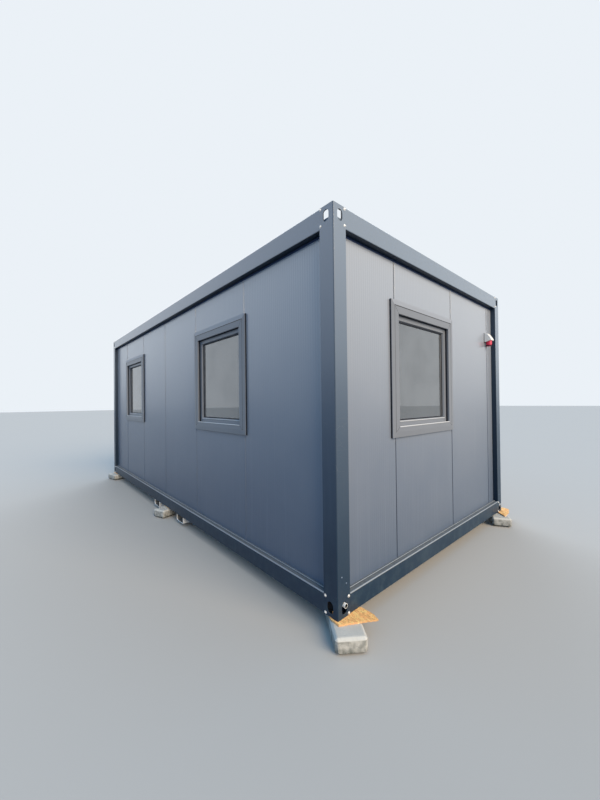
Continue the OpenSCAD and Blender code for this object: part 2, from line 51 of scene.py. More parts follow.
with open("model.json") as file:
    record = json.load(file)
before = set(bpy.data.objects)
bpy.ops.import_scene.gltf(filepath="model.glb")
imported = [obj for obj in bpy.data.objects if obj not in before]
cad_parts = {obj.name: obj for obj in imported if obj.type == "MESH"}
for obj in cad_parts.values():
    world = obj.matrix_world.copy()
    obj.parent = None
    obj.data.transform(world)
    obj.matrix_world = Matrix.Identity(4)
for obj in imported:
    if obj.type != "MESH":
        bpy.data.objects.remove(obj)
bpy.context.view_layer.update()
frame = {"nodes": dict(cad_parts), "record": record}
BODY = "root"
TOP_LOW, TOP_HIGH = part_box("top_corners")
FOOT_LOW, FOOT_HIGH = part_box("bottom_corners")
HALF_LENGTH, HALF_WIDTH = TOP_HIGH.x, TOP_HIGH.y
FRONT_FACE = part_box("front_panel_1")[0].y
END_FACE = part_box("right_panel_1")[1].x
CORNERS = ((-1, -1), (-1, 1), (1, -1), (1, 1))

# the drains' open ends: in from the frame's side, up from its underside, and the bore's radius
DRAIN_IN, DRAIN_UP, DRAIN_BORE = 0.064, 0.08, 0.0122
# how far the painted shade of a fork pocket reaches past its opening in the record: over the
# walls' inner faces along X and Z, and back from the ends along Y
POCKET_REACH = (0.0145, -0.035, 0.0145)

# colours of wear and dirt, and of painted shade in hollows and a painted highlight, in linear light
# pale dust, which also paints a highlight on what faces up
DUST_AND_HIGHLIGHT = (0.36, 0.37, 0.37)
SPLASH = (0.08, 0.125, 0.145)
PRIMER = (0.24, 0.26, 0.27)
# painted shade inside the frame's hollows
HOLLOW_SHADE = (0.005, 0.01, 0.022)
ROAD_DIRT = (0.2, 0.19, 0.175)
# painted shade inside the fork pockets
POCKET_SHADE = (0.03, 0.03, 0.03)
RUBBER_DUST = (0.03, 0.034, 0.042)
DAMP = (0.11, 0.12, 0.11)
PORE = (0.13, 0.13, 0.12)
BARK = (0.1, 0.035, 0.012)
BROKEN_WOOD = (0.62, 0.36, 0.2)
# painted shade inside the drains' bores
BORE_SHADE = (0.012, 0.012, 0.01)


# numbers and nodes of a material
class Num:
    """A number socket of a node tree. Sums, products and the like add their Math nodes."""

    def __init__(self, maker, socket):
        self.maker, self.socket = maker, socket

    def math(self, operation, *values):
        return self.maker.node("ShaderNodeMath", dict(enumerate(values)), operation=operation)

    def __add__(self, other):
        return self.math("ADD", self, other)

    def __radd__(self, other):
        return self.math("ADD", other, self)

    def __sub__(self, other):
        return self.math("SUBTRACT", self, other)

    def __rsub__(self, other):
        return self.math("SUBTRACT", other, self)

    def __mul__(self, other):
        return self.math("MULTIPLY", self, other)

    def __rmul__(self, other):
        return self.math("MULTIPLY", other, self)

    def __pow__(self, other):
        return self.math("POWER", self, other)

    def size(self):
        return self.math("ABSOLUTE", self)

    def sine(self):
        return self.math("SINE", self)

    def least(self, other):
        return self.math("MINIMUM", self, other)

    def most(self, other):
        return self.math("MAXIMUM", self, other)

    def between(self, low, high):
        """0 below low, 1 above high, and a smooth rise from one to the other."""
        return self.maker.node("ShaderNodeMapRange", {0: self, 1: low, 2: high},
                               interpolation_type="SMOOTHSTEP")


class Nodes:
    """A node tree of a material or the world under way, with the few mixes that they share."""

    def __init__(self, owner):
        owner.use_nodes = True
        self.owner, self.tree = owner, owner.node_tree
        self.tree.nodes.clear()

    def node(self, kind, values=None, output=0, stops=None, **settings):
        """Adds any node: its settings first, then the values or links of its sockets."""
        node = self.tree.nodes.new(kind)
        for key, value in settings.items():
            setattr(node, key, value)
        if stops:
            ramp = node.color_ramp
            while len(ramp.elements) < len(stops):
                ramp.elements.new(0.5)
            for element, (at, colour) in zip(ramp.elements, stops):
                element.position, element.color = at, (*colour, 1)
        for key, value in (values or {}).items():
            value = value.socket if isinstance(value, Num) else value
            place = node.inputs[key]
            if isinstance(value, bpy.types.NodeSocket):
                self.tree.links.new(value, place)
            elif place.type == "RGBA" and len(value) == 3:
                place.default_value = (*value, 1)
            else:
                place.default_value = value
        if not len(node.outputs):
            return None
        socket = node.outputs[output]
        return Num(self, socket) if socket.type == "VALUE" else socket

    def mix(self, low, high, factor):
        """A colour between two, by a factor."""
        return self.node("ShaderNodeMix", {0: factor, 6: low, 7: high}, output=2,
                         data_type="RGBA")

    def seen(self):
        """1 for what the camera, a mirror-like face or glass sees, 0 for diffuse light."""
        camera, glossy, through = (self.node("ShaderNodeLightPath", output=ray) for ray in (
            "Is Camera Ray", "Is Glossy Ray", "Is Transmission Ray"))
        return camera.most(glossy).most(through)


class Finish(Nodes):
    """A material that reads places on the object and ends in one shader."""

    def __init__(self, name):
        super().__init__(bpy.data.materials.new(name))
        self.place = self.node("ShaderNodeTexCoord", output="Object")
        self.facing = self.node("ShaderNodeNewGeometry", output="Normal")

    def axis(self, which, vector=None):
        """One of x, y and z of a place."""
        return self.node("ShaderNodeSeparateXYZ", {0: vector or self.place}, output=which)

    def stretched(self, scale, turn=(0, 0, 0)):
        """The place on the object, turned and scaled."""
        return self.node("ShaderNodeMapping", {0: self.place, "Rotation": turn, "Scale": scale})

    def noise(self, scale, detail=3.0, stretch=None, rough=0.55):
        """Cloudy noise about 0.5."""
        where = self.stretched(stretch) if stretch else self.place
        return self.node("ShaderNodeTexNoise", {"Vector": where, "Scale": scale,
                         "Detail": detail, "Roughness": rough})

    def cells(self, scale, where=None, feature="F1", output="Distance"):
        """Distance from, or colour of, scattered cells."""
        return self.node("ShaderNodeTexVoronoi", {"Vector": where or self.place, "Scale": scale},
                         output=output, feature=feature)

    def bump(self, height, distance, strength=1.0, under=None):
        """A normal that a height bends."""
        values = {"Height": height, "Distance": distance, "Strength": strength}
        if under is not None:
            values["Normal"] = under
        return self.node("ShaderNodeBump", values)

    def surface(self, colour, roughness, normal=None, metallic=0.0, **plain):
        """Ends the material in one shader. The plain values go straight to its sockets; of
        them only the coat's weight is ever a mask."""
        values = {"Base Color": colour, "Roughness": roughness, "Metallic": metallic}
        if normal is not None:
            values["Normal"] = normal
        values.update({key.replace("_", " "): value for key, value in plain.items()})
        return self.finished(self.node("ShaderNodeBsdfPrincipled", values))

    def finished(self, shader):
        """Links the shader to the material's output."""
        self.node("ShaderNodeOutputMaterial", {"Surface": shader})
        return self.owner


def shade(colour, factor):
    """A colour made lighter or darker."""
    return tuple(min(1.0, c * factor) for c in colour[:3])


# finishes
def weathered_with_painted_light(f, colour, low, dust):
    """A paint colour with cloudy fading, thin rain streaks down the walls, dust on what faces up,
    which is also a painted highlight there, dried splashes low down, and a painted gradient from a
    dark, bluer tone near the ground to a lighter one at the top, which stands in for the dark
    ground's reflection below and the sky's above. The clear coat has worn off below and shines on
    above, and what faces down is painted darker: painted shade under things. Gives the colour, the
    cloudy and the fine noise, and the weight of the clear coat."""
    height = f.axis(2)
    cloud = f.noise(1.1, 4.0)
    streak = f.noise(1.0, 3.0, (26, 26, 0.7)).between(0.52, 0.78)
    speck = f.noise(38, 2.0)
    level = height + cloud * 0.4 - 0.2
    # painted light: the tone rises from the dark, bluer low colour near the ground to a lighter
    # copy of the paint at the top, a painted reflection of the dark ground below and of the sky
    # above
    tone = f.mix(low, shade(colour, 1.46), level.between(FOOT_LOW.z - 0.25, TOP_HIGH.z + 0.3))
    tone = f.mix(tone, shade(colour, 0.9), cloud.between(0.3, 0.8) * 0.12)
    tone = f.mix(tone, shade(colour, 1.5), streak * 0.06)
    slope = f.axis(2, f.facing)
    # dust on what faces up, which is also a painted highlight on the upper folds and ledges
    tone = f.mix(tone, DUST_AND_HIGHLIGHT, slope.between(0.55, 0.95) * dust * (0.5 + speck))
    # painted shade: what faces down, such as the top rail's underside, is mixed to a darker copy of
    # the low tone
    lit = slope.between(-0.95, -0.4)
    tone = f.mix(shade(low, 0.8), tone, lit)
    splash = (1 - (height - FOOT_LOW.z).between(0.0, 0.42)) * f.noise(16, 5.0).between(0.42, 0.75)
    tone = f.mix(tone, SPLASH, splash * 0.22)
    return tone, cloud, speck, level.between(0.9, TOP_HIGH.z) * lit


def frame_paint(colour, low):
    """Satin paint on folded steel: orange peel, a little waviness, short scratches that show
    the grey primer, matt upright bends, painted shade on the faces that look inwards along a wall,
    and near-black painted shade inside the hollow rails and corner boxes."""
    f = Finish("satin_paint")
    tone, cloud, speck, clear = weathered_with_painted_light(f, colour, low, 0.35)
    lines = f.cells(5.5, f.stretched((1.0, 1.0, 3.2), (0.4, 0.7, 0.3)), "DISTANCE_TO_EDGE")
    scratch = (1 - lines.between(0.0, 0.006)) * f.noise(2.4, 2.0).between(0.6, 0.7)
    tone = f.mix(tone, PRIMER, scratch * 0.5)
    # painted shade: near black on the faces inside the hollow rails and corner boxes, a few
    # millimetres in from the outer faces
    deep = (HALF_LENGTH - f.axis(0).size()).least(HALF_WIDTH - f.axis(1).size())
    height, inside = f.axis(2), 0
    for low_end, high_end in ((FOOT_LOW.z, FOOT_HIGH.z), (TOP_LOW.z, TOP_HIGH.z)):
        inside = ((height - low_end).least(high_end - height)).between(0.001, 0.004) + inside
    tone = f.mix(tone, HOLLOW_SHADE, inside * deep.between(0.001, 0.004) * 0.9)
    # painted shade on the faces that turn towards the cabin's middle, such as a post's flank beside
    # the panels; these also lose their clear coat
    outward = f.axis(0) * f.axis(0, f.facing) + f.axis(1) * f.axis(1, f.facing)
    inward = (outward * -1).between(0.3, 1.0)
    tone = f.mix(tone, shade(low, 0.8), inward * 0.8)
    edge = f.axis(0, f.facing).size().least(f.axis(1, f.facing).size()).between(0.1, 0.4)
    tone = f.mix(tone, low, edge * 0.35)
    peel = f.bump(f.noise(420, 2.0), 0.0004, 0.35)
    wave = f.bump(f.noise(5.0, 1.0), 0.004, 0.25, peel)
    return f.surface(tone, 0.36 + cloud * 0.08 + speck * 0.06 + edge * 0.4, wave,
                     Specular_IOR_Level=0.3, Coat_Weight=clear * (1 - edge) * (1 - inward),
                     Coat_IOR=1.9, Coat_Roughness=0.22)


def wall_paint(name, colour, low, along, pitch):
    """Coil-coated steel skin of a wall panel, rolled with fine upright ribs: the height of a
    rib is a narrow power of a sine along the wall, so that flats lie between thin lines."""
    f = Finish(name)
    tone, cloud, speck, clear = weathered_with_painted_light(f, colour, low, 0.1)
    wave = (f.axis(along) * (2 * math.pi / pitch)).sine()
    line = (wave * 0.5 + 0.5) ** 6.0
    # painted shade along the ribs: the rib lines are darker, more so at the top where the clear
    # coat shines
    tone = f.mix(tone, shade(low, 0.9), line * (clear * 0.16 + 0.02))
    normal = f.bump(line, 0.0014, 0.22, f.bump(f.noise(300, 2.0), 0.0003, 0.25))
    normal = f.bump(f.noise(2.2, 1.0), 0.012, 0.16, normal)
    return f.surface(tone, 0.32 + cloud * 0.08 + speck * 0.05, normal, Specular_IOR_Level=0.4,
                     Coat_Weight=clear * 0.9 + 0.1, Coat_IOR=1.8, Coat_Roughness=0.18)


def trim_paint(name, colour):
    """Smooth powder coat of surrounds and sashes, with faint wipe marks and a painted highlight on
    what leans back towards the sky."""
    f = Finish(name)
    cloud = f.noise(2.3, 3.0)
    wipe = f.noise(1.0, 4.0, (7, 7, 60)).between(0.45, 0.8)
    tone = f.mix(shade(colour, 0.92), shade(colour, 1.08), cloud)
    tone = f.mix(tone, shade(colour, 1.2), wipe * 0.22)
    # painted highlight on what leans back a little towards the sky, such as a surround's top band
    tone = f.mix(tone, shade(colour, 1.45), f.axis(2, f.facing).between(0.03, 0.08))
    normal = f.bump(f.noise(520, 2.0), 0.0003, 0.3)
    return f.surface(tone, 0.3 + wipe * 0.08, normal, Specular_IOR_Level=0.4)


def galvanised(name, colour, spangle=34.0, dirt=0.3, metallic=0.75, hollows=()):
    """Hot-dip zinc: spangles of slightly different grey, dull patches and road dirt. The faces
    round a hollow, given by the middle and the half size of its box, are painted dark: painted
    shade inside the hollow."""
    f = Finish(name)
    flake = f.axis(0, f.cells(spangle, output="Color"))
    dull = f.noise(6, 4.0)
    tone = f.mix(shade(colour, 0.84), shade(colour, 1.12), flake * 0.6 + dull * 0.4)
    tone = f.mix(tone, ROAD_DIRT, f.noise(11, 5.0).between(0.5, 0.85) * dirt)
    # painted shade inside each hollow
    for middle, half in hollows:
        room = 1.0
        for axis in range(3):
            left = half[axis] - (f.axis(axis) - middle[axis]).size()
            room = left.between(0.0, 0.004) * room
        tone = f.mix(tone, POCKET_SHADE, room * 0.85)
    normal = f.bump(flake * 0.4 + f.noise(160, 2.0), 0.0005, 0.4)
    return f.surface(tone, 0.34 + dull * 0.3, normal, metallic)


def pocket_hollows():
    """Middle and half size of each fork pocket's inside, from the record's openings."""
    for opening in frame["record"]["physics"]["openings"]:
        if opening["name"].startswith("fork_pocket"):
            low, high = np.array(opening["box_m"])
            yield tuple((low + high) / 2), tuple((high - low) / 2 + POCKET_REACH)


def rubber(name, colour):
    """Sealing rubber, a little dusty, with a fine moulded grain."""
    f = Finish(name)
    dust = f.noise(30, 4.0).between(0.45, 0.85)
    tone = f.mix(colour, RUBBER_DUST, dust * 0.4)
    return f.surface(tone, 0.6 + dust * 0.2, f.bump(f.noise(700, 2.0), 0.0002, 0.5),
                     Specular_IOR_Level=0.25)


def window_pane(tint):
    """Coated double glazing: a mirror-like face over a dark room, a little out of flat, with
    dried drops and a thin film of dust."""
    f = Finish("window_pane")
    drops = 1 - f.cells(95, f.stretched((1, 1, 0.8))).between(0.1, 0.16)
    film = f.noise(4, 3.0).between(0.35, 0.8)
    tone = f.mix(tint, shade(tint, 0.86), film)
    rough = 0.02 + drops * 0.04 * film + film * 0.015
    return f.surface(tone, rough, f.bump(f.noise(1.6, 1.0), 0.012, 0.08), 0.5,
                     Transmission_Weight=0.7, IOR=1.6, Specular_IOR_Level=0.6)


def concrete(colour):
    """Cast concrete that has lain outdoors: cement skin, open pores, a painted highlight on the
    bevels that lean up, and damp patches that rise from the ground up the sides."""
    f = Finish("worn_concrete")
    cloud, grit = f.noise(9, 5.0), f.noise(120, 4.0, rough=0.7)
    pore = 1 - f.cells(150).between(0.1, 0.24)
    tone = f.mix(shade(colour, 0.84), shade(colour, 1.16), cloud * 0.6 + grit * 0.4)
    slope = f.axis(2, f.facing)
    side = 1 - slope.between(0.1, 0.5)
    # painted highlight on the bevels that lean up, broken by the grit
    bevel_highlight = slope.between(0.2, 0.5) * (1 - slope.between(0.85, 0.98))
    tone = f.mix(tone, shade(colour, 1.3), bevel_highlight * (0.2 + grit * 0.4))
    wet = 1 - f.axis(2).between(0.0, 0.055)
    damp = f.noise(30, 5.0).between(0.36, 0.66) * 0.55 + wet * 0.5
    tone = f.mix(tone, DAMP, side * damp)
    tone = f.mix(tone, PORE, pore * f.noise(14, 2.0).between(0.4, 0.7) * 0.7)
    normal = f.bump(grit - pore * 0.5, 0.004, 0.6, f.bump(cloud, 0.01, 0.5))
    return f.surface(tone, 0.86 + grit * 0.1, normal)


def strand_board(colour):
    """Oriented strand board: three layers of long flakes, each with its own turn and stretch,
    dark gaps where the flakes end, flecks of bark, and paler wood where it is broken."""
    f = Finish("strand_board")
    tone = None
    for turn, stretch in ((0.3, (20, 85, 90)), (1.35, (26, 95, 90)), (2.3, (18, 80, 90))):
        where = f.stretched(stretch, (0, 0, turn))
        flake = f.axis(0, f.cells(1.0, where, output="Color"))
        gap = 1 - f.cells(1.0, where, "DISTANCE_TO_EDGE").between(0.0, 0.06)
        layer = f.node("ShaderNodeValToRGB", {0: flake}, stops=[
            (0.0, shade(colour, 0.72)), (0.45, shade(colour, 1.0)), (1.0, shade(colour, 1.3))])
        layer = f.mix(layer, shade(colour, 0.42), gap * 0.7)
        tone = layer if tone is None else f.mix(
            tone, layer, f.noise(13 + 9 * turn, 1.0).between(0.5, 0.54))
    grain = f.noise(1.0, 4.0, (420, 90, 300))
    tone = f.mix(tone, shade(colour, 0.6), grain.between(0.55, 0.85) * 0.3)
    fleck = 1 - f.cells(48, f.stretched((1, 1.7, 1))).between(0.14, 0.2)
    tone = f.mix(tone, BARK, fleck * f.noise(21, 1.0).between(0.5, 0.56) * 0.8)
    side = 1 - f.axis(2, f.facing).size().between(0.3, 0.8)
    tone = f.mix(tone, BROKEN_WOOD, side * f.noise(90, 3.0).between(0.3, 0.6) * 0.8)
    return f.surface(tone, 0.78, f.bump(grain, 0.002, 0.6))


def plastic(name, colour, grain=520.0, bore=None):
    """Moulded plastic with an eroded texture and a slightly chalky surface. A bore, given by
    the y and z of its axis along X and its radius, is painted dark: painted shade inside the pipe."""
    f = Finish(name)
    chalk = f.noise(45, 4.0).between(0.35, 0.85)
    tone = f.mix(shade(colour, 0.93), shade(colour, 1.1), chalk)
    if bore:
        y, z, radius = bore
        off = ((f.axis(1).size() - y) ** 2 + (f.axis(2) - z) ** 2) ** 0.5
        # painted shade inside the bore
        tone = f.mix(BORE_SHADE, tone, off.between(radius, radius + 0.0008))
    return f.surface(tone, 0.42 + chalk * 0.15, f.bump(f.noise(grain, 2.0), 0.0002, 0.4))


def floor_covering(colour):
    """Speckled sheet floor over board."""
    f = Finish("floor_covering")
    fleck = f.axis(0, f.cells(420, output="Color")).between(0.6, 0.95)
    tone = f.mix(shade(colour, 0.85), shade(colour, 1.2), fleck * 0.6 + f.noise(3, 3.0) * 0.4)
    return f.surface(tone, 0.45 + fleck * 0.15, f.bump(fleck, 0.0003, 0.3))


def lining_board(colour, sheet=1.2):
    """White coated board with a faint linen grain and joints a sheet's width apart."""
    f = Finish("lining_board")
    weave = f.noise(1.0, 2.0, (900, 60, 900)) * 0.5 + f.noise(1.0, 2.0, (60, 900, 900)) * 0.5
    joint = (f.axis(0) * (math.pi / sheet)).sine().size().between(0.0, 0.006)
    tone = f.mix(shade(colour, 0.96), shade(colour, 1.04), weave)
    tone = f.mix(shade(colour, 0.6), tone, joint)
    return f.surface(tone, 0.55, f.bump(weave, 0.0003, 0.3))


def steel(name, colour):
    """Brushed steel of a handle or a screw, with fingermarks."""
    f = Finish(name)
    brush = f.noise(1.0, 3.0, (90, 900, 900))
    mark = f.noise(60, 3.0).between(0.5, 0.8)
    tone = f.mix(shade(colour, 0.9), shade(colour, 1.1), brush)
    return f.surface(tone, 0.28 + mark * 0.15, f.bump(brush, 0.0002, 0.3), metallic=1.0)


FINISHES = {
    "satin_paint": lambda p: frame_paint(p.frame, p.frame_low),
    "long_wall_paint": lambda p: wall_paint("long_wall_paint", p.wall, p.wall_low, 0, p.rib_pitch),
    "end_wall_paint": lambda p: wall_paint("end_wall_paint", p.wall, p.wall_low, 1, p.rib_pitch),
    "trim_plate": lambda p: trim_paint("trim_plate", shade(p.frame, 1.3)),
    "powder_coat": lambda p: trim_paint("powder_coat", p.trim),
    "ledge_coat": lambda p: trim_paint("ledge_coat", p.ledge),
    "pale_coat": lambda p: trim_paint("pale_coat", p.edge),
    "fold_coat": lambda p: trim_paint("fold_coat", shade(p.trim, 0.07)),
    "drain_plastic": lambda p: plastic("drain_plastic", p.plastic, bore=(
        HALF_WIDTH - DRAIN_IN, FOOT_LOW.z + DRAIN_UP, DRAIN_BORE)),
    "galvanised_sheet": lambda p: galvanised("galvanised_sheet", p.zinc),
    "pocket_zinc": lambda p: galvanised("pocket_zinc", shade(p.zinc, 1.4), dirt=0.1, metallic=0.2,
                                        hollows=tuple(pocket_hollows())),
    "galvanised_bolt": lambda p: galvanised("galvanised_bolt", shade(p.zinc, 1.25), spangle=300.0,
                                            dirt=0.1),
    "sealing_rubber": lambda p: rubber("sealing_rubber", p.rubber),
    "channel_rubber": lambda p: rubber("channel_rubber", shade(p.rubber, 8)),
    "window_pane": lambda p: window_pane(p.glass),
    "worn_concrete": lambda p: concrete(p.concrete),
    "strand_board": lambda p: strand_board(p.board),
    "grey_plastic": lambda p: plastic("grey_plastic", p.plastic),
    "red_plastic": lambda p: plastic("red_plastic", p.lid),
    "floor_covering": lambda p: floor_covering(p.floor),
    "lining_board": lambda p: lining_board(p.lining),
    "handle_steel": lambda p: steel("handle_steel", p.steel),
}
MADE = {}


def finish(name):
    """The material of a name, made the first time it is asked for."""
    if name not in MADE:
        MADE[name] = FINISHES[name](bpy.context.scene.cabin_paint)
    return MADE[name]


def dress(name, *nodes):
    """Gives CAD nodes their finish. Their meshes stay as they are."""
    for node in nodes:
        obj = frame["nodes"][node]
        if not obj.material_slots:
            obj.data.materials.append(finish(name))
        for place in obj.material_slots:
            place.material = finish(name)


# surfaces as arrays
def grid_faces(rows, columns, wrap_rows=False, wrap_columns=False):
    """Quads of a grid of points, which may close on itself along either way."""
    r = np.arange(rows if wrap_rows else rows - 1)
    c = np.arange(columns if wrap_columns else columns - 1)
    r, c = np.meshgrid(r, c, indexing="ij")
    r2, c2 = (r + 1) % rows, (c + 1) % columns
    quads = [r * columns + c, r * columns + c2, r2 * columns + c2, r2 * columns + c]
    return np.stack(quads, -1).reshape(-1, 4)


def put_piece(name, parts, material, smooth=40.0):
    """One mesh from several (points, faces), with seams merged, faces turned outwards and
    edges sharper than the angle kept sharp. It rides on the cabin's one body."""
    points, faces, start = [], [], 0
    for part_points, part_faces in parts:
        points.append(part_points.reshape(-1, 3))
        faces += (part_faces + start).tolist()
        start += len(points[-1])
    mesh = bpy.data.meshes.new(name)
    mesh.from_pydata(np.concatenate(points).tolist(), [], faces)
    work = bmesh.new()
    work.from_mesh(mesh)
    bmesh.ops.remove_doubles(work, verts=work.verts, dist=1e-6)
    bmesh.ops.recalc_face_normals(work, faces=work.faces)
    work.to_mesh(mesh)
    work.free()
    mesh.materials.append(finish(material))
    obj = bpy.data.objects.new(name, mesh)
    bpy.context.scene.collection.objects.link(obj)
    mesh.shade_smooth()
    mesh.set_sharp_from_angle(angle=math.radians(smooth))
    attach(obj, BODY)
    return obj


def spun(profile, centre, axis, sides=20):
    """A profile of (radius, height) turned about an axis: x and y are the radius times the
    cosine and sine of the turn. It closes where its radius is 0."""
    profile = np.asarray(profile, float)
    a = np.linspace(0, 2 * math.pi, sides, endpoint=False)
    axis = np.asarray(axis, float) / np.linalg.norm(axis)
    side = np.cross(axis, (0, 0, 1) if abs(axis[2]) < 0.9 else (1, 0, 0))
    side /= np.linalg.norm(side)
    other = np.cross(axis, side)
    r, h = profile[:, :1], profile[:, 1:]
    p = (np.asarray(centre, float) + (r * np.cos(a))[..., None] * side
         + (r * np.sin(a))[..., None] * other + (h + 0 * a)[..., None] * axis)
    return p, grid_faces(len(profile), sides, wrap_columns=True)


def carried(profile, path, out, closed=True):
    """A closed profile of (sideways, outwards) carried along a path with mitred corners.
    Sideways is the path's direction crossed with out, stretched at a corner by 1 / cosine of
    half its turn. An open run gets flat ends."""
    profile, path = np.asarray(profile, float), np.asarray(path, float)
    out = np.asarray(out, float)
    before = path - np.roll(path, 1, 0)
    after = np.roll(path, -1, 0) - path
    if not closed:
        before[0], after[-1] = after[0], before[-1]
    before /= np.linalg.norm(before, axis=1, keepdims=True)
    after /= np.linalg.norm(after, axis=1, keepdims=True)
    s1, s2 = np.cross(before, out), np.cross(after, out)
    side = s1 + s2
    side /= (1 + (s1 * s2).sum(1, keepdims=True))
    p = (path[:, None] + side[:, None] * profile[None, :, :1] + out * profile[None, :, 1:])
    parts = [(p, grid_faces(len(path), len(profile), closed, True))]
    if not closed:
        parts += [(p[end], np.arange(len(profile))[None]) for end in (0, -1)]
    return parts


def half_round(width, height, foot=0.0005, steps=7):
    """Profile of a bead: half an ellipse, x = width / 2 cos t and y = height sin t, with a flat
    foot just under the surface that it lies on."""
    t = np.linspace(0, math.pi, steps)
    return [(width / 2 * math.cos(a), height * math.sin(a)) for a in t] + [
        (-width / 2, -foot), (width / 2, -foot)]


def rod(radius, steps=10):
    """Profile of a thin round rod."""
    t = np.linspace(0, 2 * math.pi, steps, endpoint=False)
    return [(radius * math.cos(a), radius * math.sin(a)) for a in t]


def rectangle(x0, x1, z0, z1, face, wall):
    """Corners of an upright rectangle on a wall: "front" faces -Y, "end" faces +X and "back"
    faces +Y. x runs along the wall's own X or Y."""
    along = np.array([[x0, z0], [x1, z0], [x1, z1], [x0, z1]])
    if wall == "end":
        return np.stack([np.full(4, face), along[:, 0], along[:, 1]], -1), (1, 0, 0)
    turn = along if wall == "front" else along[::-1]
    return (np.stack([turn[:, 0], np.full(4, face), turn[:, 1]], -1),
            (0, -1 if wall == "front" else 1, 0))


def turned(parts, degrees, x, y, z=0.0):
    """Points turned about Z and moved."""
    a = math.radians(degrees)
    m = np.array([[math.cos(a), math.sin(a), 0], [-math.sin(a), math.cos(a), 0], [0, 0, 1]])
    return [(points @ m + (x, y, z), faces) for points, faces in parts]


def opposite(parts):
    """The parts and the same again half a turn round the cabin, for the hidden walls."""
    return parts + turned(parts, 180, 0, 0)


def lattice(p, seed):
    """Smooth noise from -1 to 1 at points: a random value at each whole-number corner, blended
    by the smooth step 3t^2 - 2t^3 along each axis."""
    count = 4096
    table = np.random.default_rng(seed).uniform(-1, 1, count)
    cell = np.floor(p).astype(int)
    t = p - cell
    t = t * t * (3 - 2 * t)
    total = 0
    for dx in (0, 1):
        for dy in (0, 1):
            for dz in (0, 1):
                key = ((cell[..., 0] + dx) * 73 + (cell[..., 1] + dy) * 179
                       + (cell[..., 2] + dz) * 283) % count
                weight = ((t[..., 0] if dx else 1 - t[..., 0])
                          * (t[..., 1] if dy else 1 - t[..., 1])
                          * (t[..., 2] if dz else 1 - t[..., 2]))
                total = total + weight * table[key]
    return total


def box_surface(half, steps):
    """The six faces of a box as grids of points, with enough steps to bend them."""
    parts = []
    for a in range(3):
        b, c = (a + 1) % 3, (a + 2) % 3
        u = np.linspace(-half[b], half[b], steps[b] + 1)
        v = np.linspace(-half[c], half[c], steps[c] + 1)
        u, v = np.meshgrid(u, v, indexing="ij")
        for sign in (-1, 1):
            p = np.zeros(u.shape + (3,))
            p[..., a], p[..., b], p[..., c] = sign * half[a], u, v
            parts.append((p, grid_faces(steps[b] + 1, steps[c] + 1)))
    return parts


# settings
def colour_of(name, text, value):
    return FloatVectorProperty(name=name, description=text, default=value, size=3,
                               subtype="COLOR", min=0, max=1)


def length_of(name, text, value):
    return FloatProperty(name=name, description=text, default=value, unit="LENGTH",
                         subtype="DISTANCE", min=0)


def number_of(name, text, value):
    return FloatProperty(name=name, description=text, default=value, min=0)


class CabinPaint(bpy.types.PropertyGroup):
    """Colours of the cabin's finishes, in linear light."""
    frame: colour_of("Frame", "Paint of the steel frame", (0.106, 0.138, 0.189))
    # the low tones are the dark ends of the painted height gradient: painted shade and a painted
    # reflection of the dark ground near the ground
    frame_low: colour_of("Frame, low", "Its tone near the ground", (0.0045, 0.022, 0.049))
    wall: colour_of("Walls", "Paint of the wall panels", (0.252, 0.272, 0.315))
    # the walls' low tone is the dark end of the same painted gradient
    wall_low: colour_of("Walls, low", "Their tone near the ground", (0.083, 0.113, 0.172))
    # the pale coats of the sill beads and of the ledges are painted highlights
    edge: colour_of("Edges", "Coat of the window sills", (0.44, 0.45, 0.47))
    ledge: colour_of("Ledges", "Coat of the ledges along the base", (0.2, 0.22, 0.25))
    trim: colour_of("Trim", "Coat of surrounds and sashes", (0.205, 0.22, 0.255))
    zinc: colour_of("Zinc", "Galvanised steel", (0.55, 0.56, 0.58))
    rubber: colour_of("Rubber", "Sealing rubber", (0.004, 0.007, 0.017))
    glass: colour_of("Glass", "Mirror tint of the panes", (0.375, 0.385, 0.395))
    concrete: colour_of("Concrete", "Blocks under the frame", (0.52, 0.505, 0.475))
    board: colour_of("Board", "Strand board under the frame", (1.0, 0.52, 0.2))
    plastic: colour_of("Plastic", "Grey plastic", (0.88, 0.86, 0.84))
    lid: colour_of("Lid", "Red plastic of the inlet", (0.72, 0.03, 0.09))
    floor: colour_of("Floor", "Sheet floor inside", (0.3, 0.3, 0.29))
    lining: colour_of("Lining", "Ceiling board inside", (0.78, 0.78, 0.76))
    steel: colour_of("Steel", "Brushed steel of the handle and screws", (0.62, 0.63, 0.64))
    rib_pitch: length_of("Rib pitch", "Distance between the fine ribs of the walls", 0.025)


class CabinWalls(bpy.types.PropertyGroup):
    """Strips in the panel joints, along the base and round the door."""
    post: length_of("Post", "Width of a corner post", 0.15)
    joint: length_of("Joint", "Half width of the dark filler in a joint", 0.0024)
    sunk: length_of("Sunk", "Depth of the filler behind the panel's face", 0.0006)
    lip: length_of("Lip", "Width of the pale lip beside a joint", 0.007)
    lip_height: length_of("Lip height", "Height of that lip", 0.0042)
    ledge: length_of("Ledge", "Radius of the bottom rails' pale edge", 0.0055)
    ledge_sunk: length_of("Ledge depth", "Depth of that edge's middle in the rail", 0.0033)
    strip: length_of("Strip", "Radius of the thinner edge over the rails", 0.00275)
    seal: length_of("Door seal", "Width of the rubber round the door", 0.007)
    seal_height: length_of("Door seal height", "Height of that rubber", 0.003)


